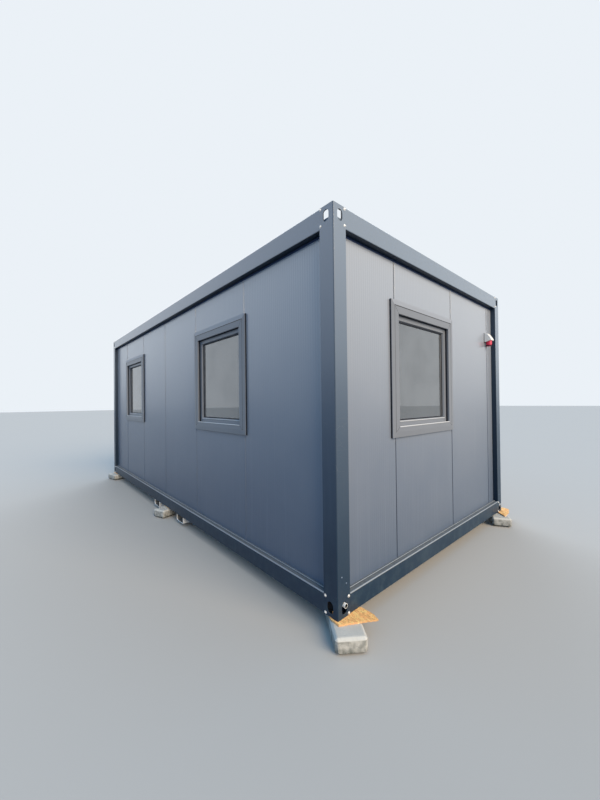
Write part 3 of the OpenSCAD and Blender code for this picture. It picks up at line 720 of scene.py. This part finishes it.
class CabinWindows(bpy.types.PropertyGroup):
    """Widths of the window pieces, from a surround's outer edge to the glass."""
    side: length_of("Surround side", "Width of a surround's sides", 0.097)
    head: length_of("Surround head", "Width of a surround's top", 0.104)
    foot: length_of("Surround foot", "Width of a surround's foot", 0.082)
    sash: length_of("Sash", "Width of the sash that shows", 0.04)
    bead: length_of("Bead", "Width of the glazing bevel", 0.009)
    gasket: length_of("Gasket", "Width of the rubber on the glass", 0.009)
    gasket_height: length_of("Gasket height", "Height of that rubber", 0.0054)
    fold: length_of("Fold", "Distance of a surround's fold from its outer edge", 0.043)
    fold_width: length_of("Fold width", "Width of the fold along the top", 0.0065)
    fold_height: length_of("Fold height", "Height of the fold along the top", 0.0014)
    crease_width: length_of("Crease width", "Width of the weak folds down the sides", 0.0025)
    crease_height: length_of("Crease height", "Height of the weak folds", 0.0009)
    seam_width: length_of("Seam width", "Width of a mitre seam", 0.0018)
    seam_height: length_of("Seam height", "Height of a mitre seam", 0.0006)
    lining: length_of("Lining", "Thickness of the rubber in the gap round a sash", 0.004)
    lining_depth: length_of("Lining depth", "Depth of the rubber in the gap round a sash", 0.015)
    lining_bevel: length_of("Lining bevel", "Bevel along that rubber's outer edge", 0.003)
    sill: length_of("Sill bead", "Radius of the pale bead along a sill", 0.005)
    sill_back: length_of("Sill depth", "Depth of that bead behind the surround's face", 0.003)
    sash_bead: length_of("Sash bead", "Radius of the pale bead along a sash's foot", 0.004)
    reach: length_of("Reach", "Distance of a surround's face in front of the panel", 0.022)
    depth: length_of("Sash depth", "Depth of the sash behind the panel's face", 0.008)
    glass: length_of("Glass depth", "Depth of the glass behind the sash", 0.017)


class CabinBolts(bpy.types.PropertyGroup):
    """Bolts and plates of the corner boxes and the small screws beside them."""
    width: length_of("Width", "Diameter of a bolt's flange", 0.021)
    height: length_of("Height", "Height of a bolt's head", 0.0075)
    inset_top: length_of("Top inset", "Distance of the top bolts from the corner", 0.113)
    inset_foot: length_of("Foot inset", "Distance of the lower bolts from the corner", 0.106)
    edge: length_of("Edge", "Distance of the outer bolts from the frame's edge", 0.0125)
    rise: length_of("Rise", "Distance between the two bolts of a face", 0.108)
    screw: length_of("Screw", "Radius of a post screw's head", 0.0048)
    screw_height: length_of("Screw height", "Height of a post screw's head", 0.0032)
    slot: length_of("Slot", "Distance of a slot's middle from the corner", 0.064)
    plate: length_of("Plate", "Width of the plate behind a top slot", 0.07)
    plate_height: length_of("Plate height", "Height of that plate", 0.045)
    plate_thickness: length_of("Plate thickness", "Thickness of that plate", 0.003)
    plate_drop: length_of("Plate drop", "Distance of its top edge under the frame's top", 0.076)
    behind: length_of("Behind", "Distance of the plate behind the frame's face", 0.016)


class CabinSupports(bpy.types.PropertyGroup):
    """Concrete blocks and the broken boards on them."""
    length: length_of("Length", "Length of a whole block", 0.39)
    width: length_of("Width", "Width of a block", 0.2)
    bevel: length_of("Bevel", "Bevel along a block's edges", 0.015)
    foot: number_of("Foot", "Growth of the bevel towards a block's foot", 0.65)
    wear: length_of("Wear", "Depth of chips and wear", 0.006)
    board: length_of("Board size", "Length that a board's outline shares multiply", 0.25)
    splinter: length_of("Splinter", "Depth of the broken edges", 0.006)
    steps: IntProperty(name="Steps", description="Grid steps along a block", default=60, min=8)


class CabinInlet(bpy.types.PropertyGroup):
    """Small pieces of the power inlet."""
    seal: length_of("Seal", "Width of the rubber round the housing's foot", 0.006)
    seal_height: length_of("Seal height", "Height of that rubber", 0.0035)
    band: length_of("Band", "Half height of the rubber band round the lid", 0.0055)
    band_reach: length_of("Band reach", "Distance that the band stands out", 0.002)
    band_place: number_of("Band place", "Share of the lid's half height under the band", 0.2)
    screw: length_of("Screw", "Radius of a cover screw's head", 0.0036)
    screw_height: length_of("Screw height", "Height of a cover screw's head", 0.002)
    screw_inset: length_of("Screw inset", "Distance of a screw from the housing's side", 0.014)
    screw_place: number_of("Screw place", "Share of the housing's depth behind a screw", 0.25)


class CabinStage(bpy.types.PropertyGroup):
    """Light, floor and camera."""
    sky: number_of("Sky", "Strength of the even light", 0.85)
    key: number_of("Key", "Strength of the broad lamp", 4.0)
    fill: number_of("Fill", "Strength of the lamp behind", 1.4)
    lens: number_of("Lens", "Focal length on a 36 mm sensor", 14.479)


# places of the blocks: shares of the frame's length and width, the turn in degrees and the
# share of the full length; the first two stand again half turned on the far side
BLOCK_SHARES = ((0.4968, -0.4721, -36.5, 1), (-0.0083, -0.4762, -70, 1),
                (-0.474, -0.4974, 12, 0.75), (0.4988, 0.4657, -60, 1))
HALF_TURNED = (0, 1)
# outlines of the broken boards, as shares of the board size about each block's middle
BOARD_SHARES = (
    ((0.16, -0.4), (0.42, 0.06), (0.7, 0.5), (0.49, 0.58), (0.11, 0.57), (-0.31, 0.38),
     (-0.31, -0.3), (-0.14, -0.38)),
    ((-0.28, -0.26), (0.4, -0.27), (0.44, 0.25), (-0.23, 0.27)),
    ((-0.55, -0.06), (0.2, -0.05), (0.16, 0.4), (-0.5, 0.36)),
    ((0.41, -0.38), (0.39, 0.31), (0.22, 0.86), (-0.08, 0.94), (-0.36, 0.38), (-0.32, 0.06),
     (0.03, -0.02)))
WINDOWS = (("front_surround_1", "front"), ("front_surround_2", "front"), ("right_surround", "end"))
# seeds of the noise on the blocks, of the boards' edges and of their splinters
BLOCK_SEED, BOARD_SEED, SPLINTER_SEED = 11, 31, 61
# screws low on a post's end face: distance from the long wall's side and height over the foot
POST_SCREWS = ((0.041, 0.261), (0.083, 0.211))
# heads as shares of their radius and height
BOLT_DOME = [(0.62 * math.cos(t), 0.32 + 0.68 * math.sin(t))
             for t in np.linspace(0, math.pi / 2, 6)[:-1]]
BOLT_HEAD = [(1, 0.12), (0.92, 0.22), (0.66, 0.3), *BOLT_DOME, (0, 1)]
PAN_HEAD = [(1, 0.3125), (0.75, 0.71875), (0.375, 0.9375), (0, 1)]
FLAT_HEAD = [(1, 0.4), (0.7222, 0.9), (0, 1)]
# how far a head reaches under the surface that it sits on
HEAD_FOOT = 0.001


class MakerOperator(bpy.types.Operator):
    """Shared words of the cabin's operators."""
    bl_options = {"REGISTER", "UNDO"}


class CABIN_OT_frame(MakerOperator):
    """Paints the steel frame, the flashings and the hidden steel of floor and roof."""
    bl_idname = "cabin.frame"
    bl_label = "Frame finishes"

    def execute(self, context):
        dress("satin_paint", "bottom_side_rails", "bottom_end_rails", "bottom_corners",
              "corner_posts", "top_side_rails", "top_end_rails", "top_corners",
              "base_flashing", "door_frame")
        dress("galvanised_sheet", "floor_joists", "underfloor_sheet", "roof_purlins",
              "roof_deck")
        dress("pocket_zinc", "fork_pockets")
        dress("sealing_rubber", "window_seals")
        # a rubber channel whose dark navy is also painted shade under the top rail
        dress("channel_rubber", "head_channel")
        dress("floor_covering", "floor_board")
        dress("lining_board", "ceiling_lining")
        return {"FINISHED"}


class CABIN_OT_walls(MakerOperator):
    """Paints the wall panels, with their fine ribs along the wall that each stands in, and puts
    a dark filler and a pale lip into each joint between two panels."""
    bl_idname = "cabin.walls"
    bl_label = "Wall finishes"

    def execute(self, context):
        for node in frame["nodes"]:
            if node.startswith(("front_panel", "back_")) or node == "door_leaf":
                dress("long_wall_paint", node)
            elif node.startswith(("right_panel", "left_panel")):
                dress("end_wall_paint", node)
        w = context.scene.cabin_walls
        filler = [(-w.joint, -w.sunk), (w.joint, -w.sunk), (0, -w.sunk - w.joint)]
        lip = half_round(w.lip, w.lip_height)
        dark, pale = [], []
        for stem, a, out in (("front_panel_", 0, (0, -1, 0)), ("right_panel_", 1, (1, 0, 0))):
            last = (HALF_LENGTH, HALF_WIDTH)[a] - w.post - w.lip
            for low, high in (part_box(node) for node in frame["nodes"] if node.startswith(stem)):
                if high[a] > last:
                    continue
                x, y = (high.x, FRONT_FACE) if a == 0 else (END_FACE, high.y)
                shift = (w.joint + w.lip / 2) * np.eye(3)[a]
                run = np.array([[x, y, low.z], [x, y, high.z]])
                dark += carried(filler, run, out, closed=False)
                pale += carried(lip, run + shift, out, closed=False)
        put_piece("joint_fillers", opposite(dark), "sealing_rubber")
        put_piece("joint_lips", opposite(pale), "long_wall_paint")
        return {"FINISHED"}


class CABIN_OT_ledges(MakerOperator):
    """Pale rounded edges along the bottom rails, and a thinner one along the strip over them
    that stops at both sides of the door. Their pale coat is a painted highlight on those edges."""
    bl_idname = "cabin.ledges"
    bl_label = "Ledges"

    def execute(self, context):
        w = context.scene.cabin_walls
        long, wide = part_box("bottom_side_rails")[1].x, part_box("bottom_end_rails")[1].y
        bar = rod(w.ledge)
        x, y, z = HALF_LENGTH - w.ledge_sunk, HALF_WIDTH - w.ledge_sunk, FOOT_HIGH.z - w.ledge_sunk
        rail = carried(bar, [[-long, -y, z], [long, -y, z]], (0, -1, 0), closed=False)
        rail += carried(bar, [[x, -wide, z], [x, wide, z]], (1, 0, 0), closed=False)
        # the pale coat of these edges is a painted highlight
        put_piece("rail_edges", opposite(rail), "ledge_coat")
        door_low, door_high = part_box("door_frame")
        z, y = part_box("front_panel_1")[0].z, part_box("base_flashing")[1].y
        x = HALF_LENGTH - (HALF_WIDTH - y)
        runs = (([[-long, -y, z], [long, -y, z]], (0, -1, 0)),
                ([[long, y, z], [door_high.x, y, z]], (0, 1, 0)),
                ([[door_low.x, y, z], [-long, y, z]], (0, 1, 0)),
                ([[x, -wide, z], [x, wide, z]], (1, 0, 0)),
                ([[-x, wide, z], [-x, -wide, z]], (-1, 0, 0)))
        bar, strip = rod(w.strip), []
        for run, out in runs:
            strip += carried(bar, run, out, closed=False)
        put_piece("strip_edges", strip, "ledge_coat")
        return {"FINISHED"}


def frame_loop(node, wall, side, head, foot, depth):
    """Corners of the rectangle inside a surround's outer edges, at a depth behind the panel's
    face, from the lower first corner on, and the way out of the wall."""
    low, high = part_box(node)
    a = 0 if wall == "front" else 1
    face = FRONT_FACE + depth if wall == "front" else END_FACE - depth
    return rectangle(low[a] + side, high[a] - side, low.z + foot, high.z - head, face, wall)


class CABIN_OT_windows(MakerOperator):
    """Coats surrounds and sashes, glazes the windows, and lays the small strips: a gasket round
    each pane, a dark rubber lining in the gap over and beside each sash, which is painted shade,
    pale beads on both sills, which are painted highlights, near-black beads, which are painted
    shade, on a strong fold along each surround's top and on weak ones down its sides, and its
    mitre seams."""
    bl_idname = "cabin.windows"
    bl_label = "Windows"

    def execute(self, context):
        w = context.scene.cabin_windows
        dress("window_pane", "window_glass")
        dress("powder_coat", "front_surround_1", "front_surround_2", "right_surround",
              "front_window_frame_1", "front_window_frame_2", "right_window_frame")
        pane, gap, sill, fold = [], [], [], []
        inner = (w.side, w.head, w.foot)
        glazing = tuple(v + w.sash + w.bead + w.gasket / 2 for v in inner)
        lining = [(0, 0), (-w.lining, 0), (-w.lining, w.lining_depth - w.lining_bevel),
                  (-w.lining + w.lining_bevel, w.lining_depth), (0, w.lining_depth)]
        gasket = half_round(w.gasket, w.gasket_height)
        strong = half_round(w.fold_width, w.fold_height)
        weak = half_round(w.crease_width, w.crease_height)
        seam = half_round(w.seam_width, w.seam_height)
        for node, wall in WINDOWS:
            path, out = frame_loop(node, wall, *glazing, w.depth + w.glass)
            pane += carried(gasket, path, out)
            # a dark rubber lining over and beside the sash: painted shade in the reveal
            path, out = frame_loop(node, wall, *inner, w.depth)
            gap += carried(lining, path[[1, 2, 3, 0]], out, closed=False)
            # pale beads along both sills: a painted highlight
            path, out = frame_loop(node, wall, *inner, w.sill_back - w.reach)
            sill += carried(rod(w.sill), path[:2], out, closed=False)
            path, out = frame_loop(node, wall, *(v + w.sash for v in inner), w.depth)
            sill += carried(rod(w.sash_bead), path[:2], out, closed=False)
            inside = frame_loop(node, wall, *inner, -w.reach)[0]
            # the near-black beads on the fold and the creases are painted shade; the mitre seams
            # are dark joints
            path, out = frame_loop(node, wall, w.fold, w.fold, w.fold, -w.reach)
            fold += carried(strong, path[2:], out, closed=False)
            for side in (path[1:3], path[[3, 0]]):
                fold += carried(weak, side, out, closed=False)
            for corner, end in zip(path, inside):
                fold += carried(seam, [corner, end], out, closed=False)
        put_piece("pane_gaskets", pane, "sealing_rubber")
        put_piece("sash_linings", gap, "sealing_rubber")
        put_piece("sill_beads", sill, "pale_coat")
        put_piece("surround_folds", fold, "fold_coat")
        return {"FINISHED"}


def head_profile(radius, height, shares):
    """Profile of a bolt's or screw's head for spun, from shares of its radius and height. It
    starts with a flat foot just under the surface."""
    points = np.array(shares, float) * (radius, height)
    return [(0, -HEAD_FOOT), (radius, -HEAD_FOOT), *points]


class CABIN_OT_bolts(MakerOperator):
    """Flanged bolts that hold the rails to the corner boxes, two on each outer face of each
    box, and the two small screws low on each post's end face."""
    bl_idname = "cabin.bolts"
    bl_label = "Bolts"

    def execute(self, context):
        b = context.scene.cabin_bolts
        bolt = head_profile(b.width / 2, b.height, BOLT_HEAD)
        rows = []
        for level, way, inset in ((TOP_HIGH.z, -1, b.inset_top), (FOOT_LOW.z, 1, b.inset_foot)):
            rows += [(level + way * b.edge, inset), (level + way * (b.edge + b.rise), inset)]
        parts = []
        for ex, ey in CORNERS:
            for z, inset in rows:
                on_side = (ex * (HALF_LENGTH - inset), ey * HALF_WIDTH, z)
                on_end = (ex * HALF_LENGTH, ey * (HALF_WIDTH - inset), z)
                parts += [spun(bolt, on_side, (0, ey, 0)), spun(bolt, on_end, (ex, 0, 0))]
        put_piece("frame_bolts", parts, "galvanised_bolt")
        screw = head_profile(b.screw, b.screw_height, PAN_HEAD)
        parts = []
        for ex, ey in CORNERS:
            for inset, up in POST_SCREWS:
                place = (ex * HALF_LENGTH, ey * (HALF_WIDTH - inset), FOOT_LOW.z + up)
                parts.append(spun(screw, place, (ex, 0, 0), 14))
        put_piece("post_screws", parts, "trim_plate")
        return {"FINISHED"}


class CABIN_OT_plates(MakerOperator):
    """Upright plates close behind the slots of the top corner boxes, over the lower part of
    each slot's height."""
    bl_idname = "cabin.plates"
    bl_label = "Slot plates"

    def execute(self, context):
        b = context.scene.cabin_bolts
        half = np.array([b.plate, b.plate_thickness, b.plate_height]) / 2
        plate = box_surface(half, (1, 1, 1))
        z = TOP_HIGH.z - b.plate_drop - half[2]
        parts = []
        for ex, ey in CORNERS:
            parts += turned(plate, 0, ex * (HALF_LENGTH - b.slot), ey * (HALF_WIDTH - b.behind), z)
            parts += turned(plate, 90, ex * (HALF_LENGTH - b.behind), ey * (HALF_WIDTH - b.slot), z)
        put_piece("slot_plates", parts, "trim_plate")
        return {"FINISHED"}


class Support(NamedTuple):
    """Where a block stands: its row of the tables, its middle, its turn in degrees, its share of
    the full length, and the turn of the board on it."""
    row: int
    x: float
    y: float
    turn: float
    share: float
    board_turn: float


def supports():
    """The blocks of the table, then those that stand again half turned."""
    own = [Support(row, x * 2 * HALF_LENGTH, y * 2 * HALF_WIDTH, turn, share, 0)
           for row, (x, y, turn, share) in enumerate(BLOCK_SHARES)]
    return own + [Support(row, -own[row].x, -own[row].y, own[row].turn + 180, own[row].share, 180)
                  for row in HALF_TURNED]


def worn_block(s, long, high, seed):
    """A block about the origin on z = 0. Each point of a box grid keeps its place on an inner
    box and its distance past that box, counted in bevels, is divided by a mean of the sum of
    its parts (a flat bevel) and the root of their squares (a round one). Noise then moves the
    points in, more along the edges, and the flat middles of top and bottom stay level."""
    half = np.array([long / 2, s.width / 2, high / 2])
    steps = tuple(int(s.steps * share) for share in (1, 0.6, 0.36))
    flat, tiny, past_bevel = 0.7, 1e-9, 0.08
    parts = []
    for p, faces in box_surface(half, steps):
        down = np.clip(-p[..., 2:] / half[2], 0, 1)
        bevel = s.bevel * (1 + s.foot * down ** 2 * (1, 1, 0.4))
        inner = np.clip(p, bevel - half, half - bevel)
        d = (p - inner) / bevel
        total = np.abs(d).sum(-1, keepdims=True)
        root = np.sqrt((d * d).sum(-1, keepdims=True))
        d = d / np.maximum(flat * total + (1 - flat) * root, tiny)
        q = inner + d * bevel
        edge = np.clip((np.abs(d) > past_bevel).sum(-1, keepdims=True) - 1, 0, 2)
        # in shares of the wear: an even loss, broad and fine noise, and chips along the edges
        broad, fine = (lattice(q * k + seed, seed + k)[..., None] for k in (30, 110))
        chip = np.maximum(lattice(q * 12 + seed, seed + 5)[..., None] - 0.1, 0)
        deep = s.wear * (0.14 + 0.1 * broad + 0.08 * fine + edge * (0.06 + 1.1 * chip))
        q = q - d / np.maximum(np.abs(d).max(-1, keepdims=True), tiny) * np.maximum(deep, 0)
        level = (np.abs(p[..., 2]) > half[2] - tiny) & (np.abs(d[..., :2]).sum(-1) < 1e-6)
        q[..., 2] = np.where(level, p[..., 2], q[..., 2]) + half[2]
        parts.append((q, faces))
    return parts


class CABIN_OT_blocks(MakerOperator):
    """Worn concrete blocks in place of the plain ones."""
    bl_idname = "cabin.blocks"
    bl_label = "Concrete blocks"

    def execute(self, context):
        s = context.scene.cabin_supports
        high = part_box("support_blocks")[1].z
        parts = []
        for n, at in enumerate(supports()):
            block = worn_block(s, at.share * s.length, high, BLOCK_SEED + 7 * n)
            parts += turned(block, at.turn, at.x, at.y)
        piece = put_piece("worn_blocks", parts, "worn_concrete", 50.0)
        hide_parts("support_blocks")
        return {"FINISHED"}


def level_ring(points, z):
    """Points of a plan lifted to a height."""
    return np.concatenate([points, np.full((len(points), 1), z)], 1)


def broken_board(shares, s, low, high, seed):
    """A flat board with a splintered edge. Its outline is walked in even steps, noise moves
    each point of each layer in along the edge's normal, and the faces above and below are
    rings that shrink towards the middle."""
    step, layers, grain, layer_shift = 0.004, 7, 140, 0.9
    corners = np.array(shares) * s.board
    walk = []
    for a, b in zip(corners, np.roll(corners, -1, 0)):
        n = max(3, int(np.linalg.norm(b - a) / step))
        walk.append(a + (b - a) * np.linspace(0, 1, n, endpoint=False)[:, None])
    edge = np.concatenate(walk)
    along = np.roll(edge, -1, 0) - np.roll(edge, 1, 0)
    normal = np.stack([-along[:, 1], along[:, 0]], -1)
    normal /= np.linalg.norm(normal, axis=1, keepdims=True)
    rows = []
    for k, z in enumerate(np.linspace(high, low, layers)):
        where = level_ring(edge * grain, k * layer_shift)
        rough = 0.5 + 0.5 * lattice(where + seed, seed)
        wide = 0.5 + 0.5 * lattice(where * 0.22 + seed, seed + 3)
        down = (k / (layers - 1)) ** 0.7
        move = s.splinter * (0.75 * rough ** 2 + 0.525 * wide * down)
        rows.append(level_ring(edge + normal * move[:, None], z))
    middle = corners.mean(0)
    over = [level_ring(middle + (rows[0][:, :2] - middle) * share, high)
            for share in (0.0, 0.35, 0.65, 0.86, 0.96)]
    under = [level_ring(middle + (rows[-1][:, :2] - middle) * share, low)
             for share in (0.96, 0.65, 0.0)]
    p = np.stack(over + rows + under)
    return [(p, grid_faces(len(p), len(edge), wrap_columns=True))]


def splinters(shares, s, low, high, seed, count=26):
    """Slivers along a board's broken sides: each is a thin pyramid with a diamond foot just
    inside the edge and its point a little past it, turned a few degrees at random."""
    rng = np.random.default_rng(seed)
    corners = np.array(shares) * s.board
    side = rng.integers(1, len(corners) - 1, count)
    along = corners[(side + 1) % len(corners)] - corners[side]
    foot = corners[side] + along * rng.uniform(0.04, 0.96, (count, 1))
    ahead = along / np.linalg.norm(along, axis=1, keepdims=True)
    inward = np.stack([-ahead[:, 1], ahead[:, 0]], -1)
    foot = foot + inward * s.splinter * 1.6
    wide, tall = inward * 0.0011, 0.0009
    forward = rng.uniform(0.7, 1.0, (count, 1))
    outward = rng.uniform(0.05, 0.35, (count, 1))
    reach = rng.uniform(1.2, 3.2, (count, 1)) * s.splinter
    tip = foot + (ahead * forward - inward * outward) * reach
    z = rng.uniform(low + 0.002, high - 0.002, (count, 1))
    points = np.stack([np.hstack([foot + wide, z]), np.hstack([foot, z + tall]),
                       np.hstack([foot - wide, z]), np.hstack([foot, z - tall]),
                       np.hstack([tip, z])], 1)
    first = np.arange(count)[:, None] * 5
    sides = [first + np.array([[a, (a + 1) % 4, 4]]) for a in range(4)]
    feet = [first + np.array([face]) for face in ([3, 1, 0], [3, 2, 1])]
    return [(points, np.vstack(sides + feet))]


class CABIN_OT_boards(MakerOperator):
    """Broken pieces of strand board in place of the plain shims."""
    bl_idname = "cabin.boards"
    bl_label = "Broken boards"

    def execute(self, context):
        s = context.scene.cabin_supports
        low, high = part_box("timber_shims")
        parts = []
        for n, at in enumerate(supports()):
            outline = BOARD_SHARES[at.row]
            board = broken_board(outline, s, low.z, high.z, BOARD_SEED + n)
            slivers = splinters(outline, s, low.z, high.z, SPLINTER_SEED + n)
            parts += turned(board + slivers, at.board_turn, at.x, at.y)
        piece = put_piece("broken_boards", parts, "strand_board", 30.0)
        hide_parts("timber_shims")
        return {"FINISHED"}


class CABIN_OT_inlet(MakerOperator):
    """The power inlet's plastics, the seal behind its housing, the rubber band round its lid
    and the screws of its cover, and the drains."""
    bl_idname = "cabin.inlet"
    bl_label = "Power inlet and drains"

    def execute(self, context):
        n = context.scene.cabin_inlet
        dress("grey_plastic", "inlet_housing")
        dress("drain_plastic", "drain_pipes")
        dress("red_plastic", "inlet_lid")
        low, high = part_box("inlet_housing")
        path, out = rectangle(low.y, high.y, low.z, high.z, END_FACE, "end")
        seal = carried(half_round(n.seal, n.seal_height), path, out)
        lid_low, lid_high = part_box("inlet_lid")
        middle = (lid_low + lid_high) / 2
        radius = (lid_high.y - lid_low.y) / 2
        turn = np.linspace(0, 2 * math.pi, 9)[:-1]
        ring = [(radius + n.band_reach * math.cos(t), n.band * math.sin(t)) for t in turn]
        centre = (middle.x, middle.y, lid_low.z + n.band_place * (middle.z - lid_low.z))
        band = spun(ring + ring[:1], centre, (0, 0, 1), 36)
        put_piece("inlet_seals", seal + [band], "sealing_rubber")
        screw = head_profile(n.screw, n.screw_height, FLAT_HEAD)
        x = low.x + n.screw_place * (high.x - low.x)
        screws = [spun(screw, (x, y, high.z), (0, 0, 1), 12)
                  for y in (low.y + n.screw_inset, high.y - n.screw_inset)]
        put_piece("inlet_screws", screws, "handle_steel")
        return {"FINISHED"}


class CABIN_OT_door(MakerOperator):
    """The door's handle, and the rubber seal round its leaf."""
    bl_idname = "cabin.door"
    bl_label = "Door"

    def execute(self, context):
        w = context.scene.cabin_walls
        dress("handle_steel", "door_handle")
        low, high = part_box("door_leaf")
        path, out = rectangle(low.x, high.x, low.z, high.z, high.y, "back")
        seal = carried(half_round(w.seal, w.seal_height), path, out)
        put_piece("door_seal", seal, "sealing_rubber")
        return {"FINISHED"}


# the stage: half width, rows and drop of the floor, what the camera sees of floor and sky, and
# the light that they throw on the cabin
FLOOR_REACH, FLOOR_ROWS, FLOOR_DROP = 90, 13, 0.0005
FLOOR_SEEN, FLOOR_LIGHT = (0.49, 0.47, 0.45), (0.1, 0.1, 0.1)
SKY_SEEN, SKY_LIGHT = (0.83, 0.88, 0.93), (0.35, 0.65, 1.0)
# tilt and turn of the lamps in degrees, and how wide they look
KEY_TILT, KEY_TURN, KEY_COLOUR = 62, 88, (1.0, 0.81, 0.56)
FILL_TILT, FILL_TURN, FILL_COLOUR = 58, 232, (0.9, 0.95, 1.0)
LAMP_SPREAD = 50
# the camera's place, whose height is over the frame's foot, and its yaw, pitch and roll in degrees
CAMERA_PLACE = (4.38601, -3.0016, 1.36777)
CAMERA_TURN = (48.57445, 0.40202, -0.64859)


def stage_paint(name, seen, unseen):
    """A plain floor. What the camera and mirror-like surfaces see is pale, and what it throws
    back at the object is a darker floor's light."""
    f = Finish(name)
    cloud = f.noise(0.6, 2.0)
    pale = f.node("ShaderNodeBsdfDiffuse", {"Color": f.mix(shade(seen, 0.985), seen, cloud)})
    dark = f.node("ShaderNodeBsdfDiffuse", {"Color": unseen})
    return f.finished(f.node("ShaderNodeMixShader", {0: f.seen(), 1: dark, 2: pale}))


def studio_floor():
    """A flat grid just under the ground plane."""
    side = np.linspace(-FLOOR_REACH, FLOOR_REACH, FLOOR_ROWS)
    x, y = np.meshgrid(side, side, indexing="ij")
    points = np.stack([x, y, 0 * x - FLOOR_DROP], -1).reshape(-1, 3)
    mesh = bpy.data.meshes.new("studio_floor")
    mesh.from_pydata(points.tolist(), [], grid_faces(FLOOR_ROWS, FLOOR_ROWS)[:, ::-1].tolist())
    mesh.materials.append(stage_paint("studio_floor", FLOOR_SEEN, FLOOR_LIGHT))
    floor = bpy.data.objects.new("studio_floor", mesh)
    bpy.context.scene.collection.objects.link(floor)
    return floor


def studio_sky(strength):
    """A world that is pale where it is seen, and blue where it only lights the cabin."""
    world = bpy.data.worlds.new("studio_sky")
    w = Nodes(world)
    seen = w.node("ShaderNodeBackground", {"Color": SKY_SEEN, "Strength": 1.0})
    light = w.node("ShaderNodeBackground", {"Color": SKY_LIGHT, "Strength": strength})
    sky = w.node("ShaderNodeMixShader", {0: w.seen(), 1: light, 2: seen})
    w.node("ShaderNodeOutputWorld", {"Surface": sky})
    return world


def broad_lamp(name, power, tilt, turn, colour):
    """A distant lamp as wide as a bright part of the sky."""
    lamp = bpy.data.lights.new(name, "SUN")
    lamp.energy, lamp.angle, lamp.color = power, math.radians(LAMP_SPREAD), colour
    holder = bpy.data.objects.new(name, lamp)
    holder.rotation_euler = (math.radians(tilt), 0, math.radians(turn))
    bpy.context.scene.collection.objects.link(holder)


def photo_camera(focal):
    """The camera of the fitted view. Yaw turns it to the left of +Y and pitch lifts it; roll
    then turns its right and up about the way ahead: right cos r + up sin r, up cos r - right
    sin r."""
    lens = bpy.data.cameras.new("photo_camera")
    lens.lens, lens.sensor_width, lens.clip_start, lens.clip_end = focal, 36.0, 0.05, 400
    yaw, pitch, roll = (math.radians(v) for v in CAMERA_TURN)
    ahead = np.array([-math.sin(yaw) * math.cos(pitch), math.cos(yaw) * math.cos(pitch),
                      math.sin(pitch)])
    right = np.array([math.cos(yaw), math.sin(yaw), 0])
    up = np.cross(right, ahead)
    x, y, z = CAMERA_PLACE
    matrix = np.eye(4)
    matrix[:3, 0] = math.cos(roll) * right + math.sin(roll) * up
    matrix[:3, 1] = math.cos(roll) * up - math.sin(roll) * right
    matrix[:3, 2] = -ahead
    matrix[:3, 3] = x, y, FOOT_LOW.z + z
    camera = bpy.data.objects.new("photo_camera", lens)
    camera.matrix_world = Matrix(matrix.tolist())
    bpy.context.scene.collection.objects.link(camera)
    return camera


class CABIN_OT_stage(MakerOperator):
    """Pale floor, even sky, two broad lamps and the camera."""
    bl_idname = "cabin.stage"
    bl_label = "Stage"

    def execute(self, context):
        scene = context.scene
        s = scene.cabin_stage
        studio_floor()
        scene.world = studio_sky(s.sky)
        broad_lamp("key_lamp", s.key, KEY_TILT, KEY_TURN, KEY_COLOUR)
        broad_lamp("fill_lamp", s.fill, FILL_TILT, FILL_TURN, FILL_COLOUR)
        scene.camera = photo_camera(s.lens)
        scene.view_settings.view_transform = "Standard"
        return {"FINISHED"}


GROUPS = {"paint": CabinPaint, "walls": CabinWalls, "windows": CabinWindows, "bolts": CabinBolts,
          "supports": CabinSupports, "inlet": CabinInlet, "stage": CabinStage}
STEPS = (CABIN_OT_frame, CABIN_OT_walls, CABIN_OT_ledges, CABIN_OT_windows, CABIN_OT_bolts,
         CABIN_OT_plates, CABIN_OT_blocks, CABIN_OT_boards, CABIN_OT_inlet, CABIN_OT_door,
         CABIN_OT_stage)


class CABIN_PT_maker(bpy.types.Panel):
    """Lists the cabin's operators and settings."""
    bl_label = "Site cabin"
    bl_idname = "CABIN_PT_maker"
    bl_space_type = "VIEW_3D"
    bl_region_type = "UI"
    bl_category = "Site cabin"

    def draw(self, context):
        for name in GROUPS:
            box = self.layout.box()
            box.label(text=name.capitalize())
            group = getattr(context.scene, "cabin_" + name)
            for key in group.__annotations__:
                box.prop(group, key)
        for step in STEPS:
            self.layout.operator(step.bl_idname)


def register():
    for group in GROUPS.values():
        bpy.utils.register_class(group)
    for name, group in GROUPS.items():
        setattr(bpy.types.Scene, "cabin_" + name, PointerProperty(type=group))
    for item in STEPS + (CABIN_PT_maker,):
        bpy.utils.register_class(item)


def unregister():
    for item in reversed(STEPS + (CABIN_PT_maker,)):
        bpy.utils.unregister_class(item)
    for name, group in GROUPS.items():
        delattr(bpy.types.Scene, "cabin_" + name)
        bpy.utils.unregister_class(group)


def main():
    """Makes every piece in order."""
    register()
    for step in STEPS:
        group, name = step.bl_idname.split(".")
        getattr(getattr(bpy.ops, group), name)()


if __name__ == "__main__":
    main()
